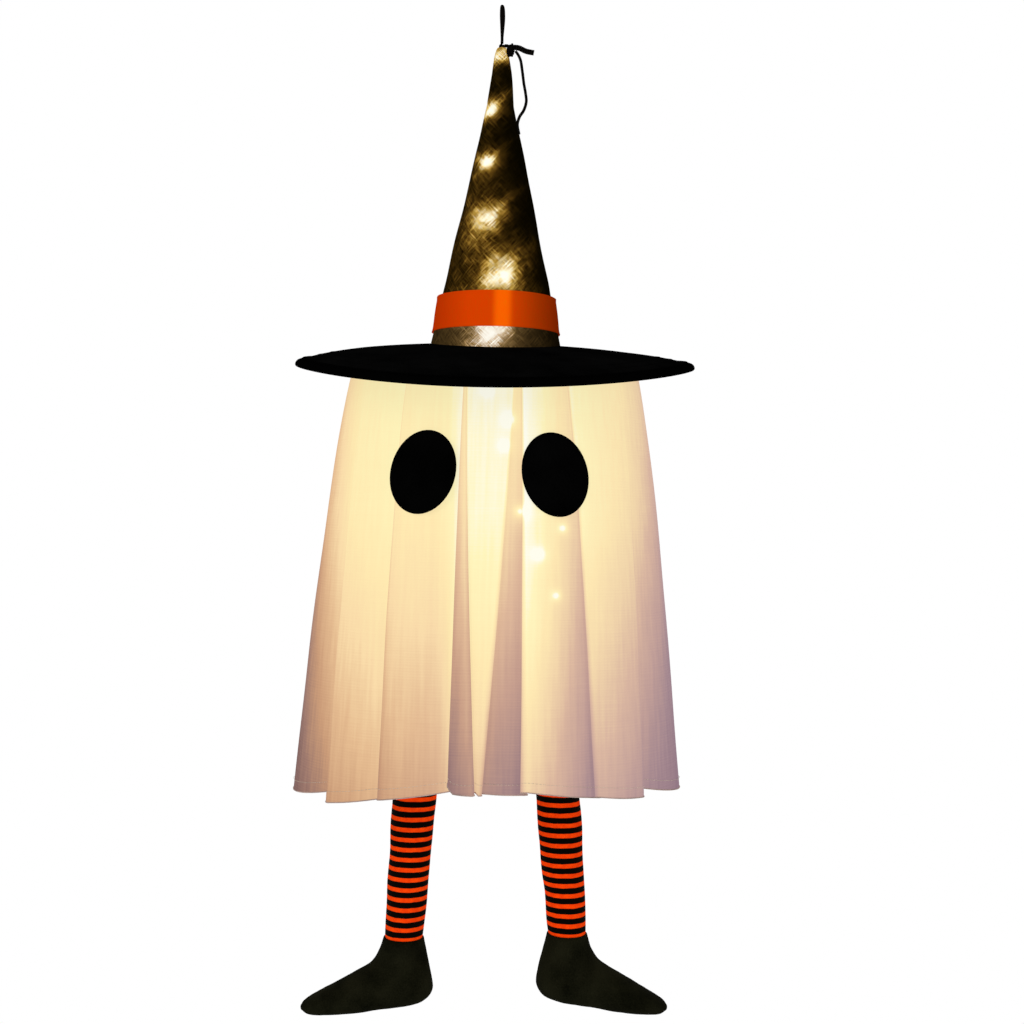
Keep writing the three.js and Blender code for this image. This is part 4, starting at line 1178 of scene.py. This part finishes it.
def brim_binding():
    """Tape folded round the rim, with a row of stitches on both faces"""
    columns = 240
    middle = -BRIM_STACK / 2
    inside = max(BRIM_STACK, RIM_WIRE) / 2 + GAP
    outside = inside + BINDING_WALL
    start = BRIM_RADIUS - BINDING_DEPTH
    bend = BRIM_RADIUS - outside
    turns = np.linspace(math.pi / 2, -math.pi / 2, 13)

    def round_rim(reach):
        arc = [(bend + reach * math.cos(t), reach * math.sin(t)) for t in turns]
        return [(start, reach), *arc, (start, -reach)]

    profile = np.array(round_rim(outside) + round_rim(inside)[::-1])
    points = turned(*profile.T, columns)
    points[:, 2] += brim_top(points[:, 0], points[:, 1]) + middle
    faces = ring_faces(len(profile), columns, loop=True)
    obj = piece("binding_tape", points, faces, binding_look, "brim_tape", "ghost", "brim_binding",
                along=np.tile(ring_angles(columns) * BRIM_RADIUS, len(profile)))
    lifts = (middle + outside + STITCH_LIFT, middle - outside - STITCH_LIFT)
    stitches("binding_stitches", [ring_on_brim(start + BINDING_STITCHES, lift) for lift in lifts], obj)


crown()
hat_band()
brim()
brim_binding()


# Hoop

def hoop_place(turn):
    r = HOOP_RADIUS * math.cos(math.pi / (8 * TAB_COUNT))
    y = r * math.sin(turn)
    return np.array([r * math.cos(turn), y, float(hoop_z(y))])


def hoop_tab(number):
    """A strip of tape round the hoop, closed under the brim and whipped to it"""
    turn = (number - 0.5) / TAB_COUNT * 2 * math.pi
    middle = hoop_place(turn)
    along = hoop_place(turn + 0.02) - hoop_place(turn - 0.02)
    along /= np.linalg.norm(along)
    slope = (brim_top(*(1.01 * middle[:2])) - brim_top(*(0.99 * middle[:2]))) / (0.02 * HOOP_RADIUS)
    up = np.cross((math.cos(turn), math.sin(turn), slope), along)
    up /= np.linalg.norm(up)
    out = np.cross(along, up)
    reach = HOOP_WIRE / 2 + GAP + TAB_THICKNESS / 2
    top = HOOP_WIRE / 2 + GAP + 0.3 * TAB_THICKNESS
    bottom = [(reach * math.cos(t), reach * math.sin(t)) for t in np.linspace(math.pi, 2 * math.pi, 15)]
    closing = [(1, 0.7), (0.8, 1), (0, 1), (-0.8, 1), (-1, 0.7)]
    outline = bottom + [(reach * right, top * high) for right, high in closing]
    path = [middle + u * out + w * up for u, w in outline]
    shape = tube(path, TAB_WIDTH, TAB_THICKNESS, sides=16, across=along, loop=True, square=0.4)
    obj = dress(shape.make(f"tab_tape_{number}"), tape_look, "cotton_tape", "ghost", f"hoop_tab_{number}")
    edges = []
    for side in (-1, 1):
        edge = middle + side * (reach + 0.4) * out + 1.2 * up
        edges.append(even_steps([edge + share * TAB_WIDTH * along for share in (-0.42, 0.42)], 0.5))
    stitches(f"tab_stitches_{number}", edges, obj, length=1.4, pitch=2.2, thread=0.4)


for number in range(1, TAB_COUNT + 1):
    hoop_tab(number)


# Gown

FOLD_EDGE = 0.5
HEM_DIP = 2.5
# How much the cloth ends above the solid
HEM_RISE = 4.5
GOWN_ROWS = 130
FOLD_COLUMNS = 10
COLUMN_DEGREES = 1.3
LASHING_LOOPS = 72


def lap_shift(number, lines, v):
    """How far a fold laps over its lower side, in degrees, so that its visible edge stays on its line"""
    if number in (0, len(lines) - 1):
        return 0
    room = min(lines[number] - lines[number - 1], lines[number + 1] - lines[number])
    lap = min(mix(0.25, 1.5, v), 0.28 * room)
    left, right = FOLDS[number].out
    return lap if left > right else -lap


def pleat_columns(left, right, start, stop):
    """Columns of the cloth between two folds"""
    count = max(6, round((right.top - left.top) / COLUMN_DEGREES))
    columns = []
    for share in np.arange(count) / count:
        bulge = PLEAT_CROWN * math.sin(math.pi * share) * min(1, (stop - start) / 20)
        columns.append((
            mix(start, stop, share),
            mix(left.out[1], right.out[0], share) + bulge,
            mix(left.tone[1], right.tone[0], share) + left.belly * math.sin(math.pi * share ** 2),
            mix(left.lift[1], right.lift[0], share),
            0,
        ))
    return columns


def fold_columns(fold, line, lap):
    """Columns of the S that the cloth makes at a fold"""
    over = 1 if fold.out[0] > fold.out[1] else -1
    columns = []
    for share in np.arange(FOLD_COLUMNS) / FOLD_COLUMNS:
        soft = smooth(0, 1, share)
        crease = math.sin(math.pi * share)
        columns.append((
            line + FOLD_EDGE * (2 * share - 1) + lap * (math.sin(2 * math.pi * share) - over),
            mix(*fold.out, soft),
            mix(*fold.tone, soft),
            mix(*fold.lift, soft) + fold.notch * crease,
            crease,
        ))
    return columns


def gown_columns(v):
    """Columns of one half at a share v of the height: degrees, how far out, tone, lift and crease"""
    lines = [mix(fold.top, fold.hem, v) for fold in FOLDS]
    shifts = [lap_shift(number, lines, v) for number in range(len(FOLDS))]
    last = len(FOLDS) - 1
    columns = []
    for i in range(last):
        start = lines[i] + (FOLD_EDGE if i else 0) - shifts[i]
        stop = lines[i + 1] - (FOLD_EDGE if i + 1 < last else 0) - shifts[i + 1]
        columns += pleat_columns(FOLDS[i], FOLDS[i + 1], start, stop)
        if i + 1 < last:
            columns += fold_columns(FOLDS[i + 1], lines[i + 1], abs(shifts[i + 1]))
    return np.array(columns)


def gown_light(angle, v, tone, crease, side):
    """Painted light through the cloth: brightest down the middle and near the hat, and uneven from pleat to
    pleat, with painted shade in the creases
    """
    heights = [0, 0.35, 0.6, 1]
    middle = np.interp(v, heights, [0.92, 0.86, 0.74, 0.42])
    edge = np.interp(v, heights, [0.68, 0.56, 0.36, 0.12])
    broad = edge + (middle - edge) * bell(angle / 90, 0.42)
    contrast = 0.9 * mix(0.28, 1, v)
    return side * broad * (1 + contrast * tone) * (1 - 0.5 * crease * (0.6 + 0.4 * v))


def gown_row(v):
    """Points of the whole gown at a share v of its height, and their values for the material"""
    rows = []
    degrees, out, tone, lift, crease = gown_columns(v).T
    # The back half gets less painted light than the front
    for middle, side in ((0, 1.0), (math.pi, 0.8)):
        angle = np.radians(degrees) + middle
        ripple = waves(angle, (0.35 * v, 7, 9 * v), (0.25, 13, -17 * v))
        points = cloth_point(angle, v, fold_depth(v) * out + ripple)
        points[:, 2] += (lift - HEM_DIP * out) * v ** 6 + HEM_RISE * v
        light = gown_light(degrees, v, tone, crease, side)
        warm = smooth(0.7, -0.7, points[:, 0] / HEM_HALF_WIDTH)
        rows.append(np.column_stack([points, light, warm, angle * HEM_HALF_WIDTH]))
    return np.concatenate(rows)


def gown_lashing():
    """Small loops of thread that sew the gown to the hoop, apart from at the tabs"""
    shape = Shape()
    for turn in (np.arange(LASHING_LOOPS) + 0.5) / LASHING_LOOPS * 2 * math.pi:
        if abs((turn / (2 * math.pi) * TAB_COUNT) % 1 - 0.5) < 0.1:
            continue
        outward = np.array([math.cos(turn), math.sin(turn), 0])
        middle = outward * (HOOP_RADIUS + CLOTH_TOP) / 2
        middle[2] = float(hoop_z(HOOP_RADIUS * math.sin(turn))) - 0.4
        along = (-math.sin(turn), math.cos(turn), 0)
        path = [middle + 4.6 * math.cos(t) * outward + (0, 0, 2.3 * math.sin(t)) for t in ring_angles(12)]
        tube(path, 0.5, sides=5, across=along, loop=True, shape=shape)
    return shape.make("gown_lashing")


def gown():
    rows = np.array([gown_row(v) for v in np.linspace(0, 1, GOWN_ROWS)])
    grid = rows[:, :, :3]
    light, warm, across = rows[:, :, 3:].reshape(-1, 3).T
    shape = Shape()
    faces = ring_faces(*grid.shape[:2])
    shape.add(grid, faces, light=light, warm=warm, across=across, down=-grid[:, :, 2])
    obj = shape.make("gown_cloth", closed=False)
    dress(obj, voile_look, "gown_voile", "ghost", "body_front", "body_back")
    hem = tube(grid[-1] + (0, 0, 0.4), 1.1, 1.4, sides=6, across=(0, 0, 1), loop=True)
    roll = attach(hem.make("gown_hem"), hem_look, obj)
    above = grid[-4] * (1.004, 1.004, 1)
    stitches("hem_stitches", [above], obj, length=2.4, pitch=3.6, thread=0.4, look=pale_thread_look)
    attach(gown_lashing(), pale_thread_look, obj)


gown()


# Eyes

EYE_SIDES = 48


def fold_share(degrees, v):
    columns = gown_columns(float(v))
    return float(np.interp(degrees, columns[:, 0], columns[:, 1]))


def eye(name, side, node):
    """A felt oval on the crests of the folds, with a row of small stitches inside its edge"""
    middle = side * EYE_SPACING / 2 + EYE_SHIFT
    lean = side * EYE_LEAN
    turns = ring_angles(EYE_SIDES)

    def place(size):
        u = np.cos(turns) * EYE_WIDTH * size / 2
        w = np.sin(turns) * EYE_HEIGHT * size / 2
        x = middle + u * math.cos(lean) - w * math.sin(lean)
        return x, -EYE_DROP + u * math.sin(lean) + w * math.cos(lean)

    crest = -1
    for x, z in zip(*place(1)):
        v = float(cloth_share(0, z))
        degrees = math.degrees(math.asin(x / cloth_oval(v)[0]))
        crest = max(crest, *(fold_share(degrees + near, v) for near in (-3, 0, 3)))

    def skin(size, lift):
        x, z = place(size)
        v = cloth_share(np.arcsin(np.clip(x / HEM_HALF_WIDTH, -1, 1)), z)
        offset = crest * fold_depth(v) + CLOTH_WALL / 2 + GAP + 0.25 + lift
        return xyz(x, cloth_front(x, z, offset), z)

    sizes = [0.02, 0.15, 0.3, 0.45, 0.6, 0.72, 0.82, 0.9, 0.96, 0.99, 1]
    rows = [skin(size, EYE_THICKNESS * (1 - 0.5 * size ** 24)) for size in sizes]
    rows += [skin(size, 0.25 * size ** 24) for size in sizes[::-1]]
    faces = ring_faces(len(rows), EYE_SIDES, capped=True)
    obj = piece(name, rows, faces, eye_look, "black_felt", "ghost", node)
    line = skin(0.93, EYE_THICKNESS + 0.1)
    closed = np.vstack([line, line[:1]])
    stitches(name.replace("felt", "stitches"), [closed], obj, length=2.2, pitch=3.4, thread=0.4)


eye("left_eye_felt", -1, "left_eye")
eye("right_eye_felt", 1, "right_eye")


# Tapes

TAPE_LAYER = 0.5
LUG_BAR = 2.2


def tape_eye(radius, reach):
    """Points round an eye of a tape, from one side to the other by way of its end"""
    return [(radius * math.sin(t), radius * math.cos(t)) for t in np.linspace(-reach, reach, 21)]


def tape_box(x, y, width, low, high):
    """A stitched square with one diagonal"""
    left = x - width * 0.36
    right = x + width * 0.36
    corners = [(left, low), (right, low), (right, high), (left, high), (left, low), (right, high)]
    return even_steps([(across, y, up) for across, up in corners], 0.4)


def folded_tape(name, x, top, length, width, top_eye, foot_eye, body, node):
    """A tape folded double, with an eye at its foot and, where top_eye isn't 0, one at its top"""
    half = 0.3
    foot = [(y, -length - z) for y, z in tape_eye(foot_eye + half, 0.45 - math.pi)]
    sides = np.linspace(-top_eye - 3 if top_eye else -1, -length + foot_eye + 3, 60)
    path = tape_eye(top_eye + half, 2.6) if top_eye else [(half, 0)]
    path += [*((half, z) for z in sides), *foot, *((-half, z) for z in sides[::-1])]
    if not top_eye:
        path.append((-half, 0))
    path = [(x, y, top + z) for y, z in path]
    shape = tube(path, width, TAPE_LAYER, across=(1, 0, 0), loop=bool(top_eye), square=0.35)
    obj = dress(shape.make(name), tape_look, "cotton_tape", body, node)
    boxes = [top - length + foot_eye + 5]
    if top_eye:
        boxes.append(top - top_eye - 5 - width * 0.6)
    face = half + 0.28
    lines = [tape_box(x, y, width, low, low + width * 0.6) for low in boxes for y in (-face, face)]
    stitches(name + "_stitches", lines, obj, length=1.3, pitch=2, thread=0.35)


RING_EYE = math.hypot(RING_BAR, RING_DEPTH) / 2 + GAP


def case_tape():
    low, high = (np.array(corner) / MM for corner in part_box("case_tape"))
    eye_radius = math.hypot(LUG_BAR, LUG_BAR) / 2 + GAP
    length = high[2] - (low[2] + eye_radius + 1)
    folded_tape("case_tape_cloth", 0, high[2], length, high[0] - low[0], 0, eye_radius, "ghost", "case_tape")


case_tape()


# Legs

def ankle_shift(side):
    """How far an ankle is to the right of the top of its leg"""
    return side * (LEG_SPLAY + side * LEG_TURN)


def leg_radius(drop):
    """Radius of a leg at a share of its length from its top"""
    top = np.interp(drop, [0, 0.012, 0.05, 0.11, 0.2], [0.06, 0.35, 0.72, 0.94, 1])
    side = mix(LEG_TOP_RADIUS, ANKLE_RADIUS, drop) + 0.9 * np.sin(math.pi * drop) - 1.0
    return np.where(drop < 0.2, top * mix(LEG_TOP_RADIUS, side, drop / 0.2), side)


def bumps(points, size, seed):
    """Soft uneven bumps, from about -1 to 1"""
    shift = Vector((seed * 7.3, seed * 3.1, seed * 5.7))
    return np.array([noise.noise(Vector(point) / size + shift) for point in points])


def ring_lashing(name, x, top, parent):
    """Loops of thread that sew the steel ring to the top of a leg"""
    shape = Shape()
    middle = top + GAP + RING_BAR / 2 - 0.4
    for right in (-3.6, -1.2, 1.2, 3.6):
        loop = [(x + right, 2.1 * math.sin(t), middle + 2.4 * math.cos(t)) for t in ring_angles(14)]
        tube(loop, 0.6, sides=5, across=(1, 0, 0), loop=True, shape=shape)
    attach(shape.make(name), thread_look, parent)


def leg(side_name, side, x, top):
    """A stuffed leg: gathered at its top, with a seam behind and soft bumps"""
    columns = 72
    gathered = np.linspace(0.012, 0.2, 26)
    rows = np.array([0.0005, 0.003, 0.006, *gathered, *np.linspace(0.21, 0.992, 74), 0.998, 1])
    r = leg_radius(rows)
    r[-2:] -= (0.3, 1.2)
    points = turned(r, -LEG_LENGTH * rows, columns)
    turn = np.tile(ring_angles(columns), len(rows))
    drop = np.repeat(rows, columns)
    gather = 0.055 * np.cos(15 * turn + 1.5 * np.sin(3 * turn)) * np.exp(-drop * LEG_LENGTH / 13)
    seam = 0.5 * bell((turn - math.pi / 2) * LEG_TOP_RADIUS, 1.2)
    ends = smooth(0.03, 0.2, drop) * smooth(1, 0.93, drop)
    soft = 1.3 * bumps(points * (1, 1, 0.8), 24, 2 + side) * ends
    points[:, :2] *= (1 + gather + (seam + soft) / np.maximum(np.repeat(r, columns), 4))[:, None]
    rise = points[:, 2] + LEG_LENGTH
    points[:, 0] += x - ankle_shift(side) * points[:, 2] / LEG_LENGTH
    points[:, 2] += top
    faces = ring_faces(len(rows), columns, capped=True)
    obj = piece(f"{side_name}_leg_stuffed", points, faces, stocking_look, "stocking", f"{side_name}_leg",
                f"{side_name}_leg", rise=rise, across=turn * LEG_TOP_RADIUS)
    ring_lashing(f"{side_name}_leg_ring_lashing", x, top, obj)


# Sections of the foot from the ankle to the toe: x and z of the instep and of the heel or sole, in shares of
# the foot's length and height, and a share of its width
FOOT_SECTIONS = np.array([
    (-0.155, 0, 0.155, 0, 0.76),
    (-0.188, -0.186, 0.182, -0.22, 0.8),
    (-0.235, -0.306, 0.215, -0.46, 0.88),
    (-0.29, -0.375, 0.225, -0.64, 0.95),
    (-0.345, -0.43, 0.175, -0.775, 1),
    (-0.42, -0.5, 0.06, -0.85, 1),
    (-0.51, -0.585, -0.14, -0.893, 0.98),
    (-0.61, -0.68, -0.36, -0.95, 0.92),
    (-0.7, -0.765, -0.56, -0.98, 0.78),
    (-0.755, -0.83, -0.7, -0.982, 0.55),
    (-0.781, -0.885, -0.765, -0.94, 0.25),
])


def smooth_rows(table, steps):
    """Rows of a table at finer steps from 0 to 1, on a smooth line through them"""
    run = np.linspace(0, 1, len(table))
    slope = np.gradient(table, run, axis=0)
    rows = []
    for at in steps:
        i = min(np.searchsorted(run, at, side="right") - 1, len(run) - 2)
        width = run[i + 1] - run[i]
        rows.append(hermite(table[i], table[i + 1], slope[i], slope[i + 1], width, (at - run[i]) / width))
    return np.array(rows)


def foot_rows(side, rows, turns):
    """Oval rows of the foot between instep and sole"""
    instep_x, instep_z, sole_x, sole_z, wide = rows.T[:, :, None]
    share = (1 + np.cos(turns)) / 2
    x = mix(sole_x, instep_x, share)
    z = mix(sole_z, instep_z, share)
    return xyz(-side * x * FOOT_LENGTH, np.sin(turns) * wide * FOOT_WIDTH / 2, z * FOOT_HEIGHT)


def foot(side_name, side, x, top):
    """A stuffed foot with a seam along its instep and sole, and soft creases"""
    columns = 56
    steps = np.linspace(0, 1, 60)
    turns = ring_angles(columns)
    rows = foot_rows(side, smooth_rows(FOOT_SECTIONS, steps), turns)
    way = (rows - rows.mean(axis=1, keepdims=True)).reshape(-1, 3)
    points = rows.reshape(-1, 3)
    inward = np.repeat(smooth(0, 0.1, steps) * smooth(1, 0.85, steps), columns)
    crumple = bumps(points, 15, 4 + side) * 0.6 + bumps(points * (1.6, 1, 1), 7, 8 + side) * 0.25
    seam = 0.6 * bell(np.sin(np.tile(turns, len(steps))) * 16, 1.4)
    size = np.linalg.norm(way, axis=1)[:, None]
    points += way / np.maximum(size, 1) * ((crumple + seam) * inward)[:, None]
    points += (x + ankle_shift(side), 0, top - LEG_LENGTH - GAP)
    faces = ring_faces(len(steps), columns, capped=True)
    obj = piece(f"{side_name}_foot_stuffed", points, faces, foot_look, "foot_cloth", f"{side_name}_leg",
                f"{side_name}_foot")


def hanging_leg(side_name, side):
    """A leg and foot below their tape"""
    x = LEG_MIDDLE + side * LEG_SPACING / 2
    length = TAPE_LENGTH - side * LEG_UNEVEN
    top = BAR_Z - length - RING_BAR / 2 - RING_WINDOW - RING_BAR - GAP
    folded_tape(f"{side_name}_tape_cloth", x, BAR_Z, length, TAPE_WIDTH, HOOP_WIRE / 2 + GAP, RING_EYE,
                f"{side_name}_tape", f"{side_name}_leg_tape")
    leg(side_name, side, x, top)
    foot(side_name, side, x, top)


hanging_leg("left", -1)
hanging_leg("right", 1)


# Floor

FLOOR_RADIUS = 2.4
FLOOR_Z = -1.9


def make_floor():
    """A pale round floor that keeps the object's shadow and fades to white at its rim"""
    turns = ring_angles(96)
    rim = [(FLOOR_RADIUS * math.cos(t), FLOOR_RADIUS * math.sin(t), FLOOR_Z) for t in turns]
    mesh = bpy.data.meshes.new("floor")
    mesh.from_pydata(rim, [], [tuple(range(len(rim)))])
    floor = new_object("floor", mesh)
    look = dull("floor", 0.9)
    look.colour((*grey(0.86), 1))
    x, y = look.axes()[:2]
    away = look.math("SQRT", x * x + y * y) / FLOOR_RADIUS
    look.glow(look.ramp(away, [(0.3, grey(0)), (0.97, grey(0.9))]))
    mesh.materials.append(look.material)


make_floor()
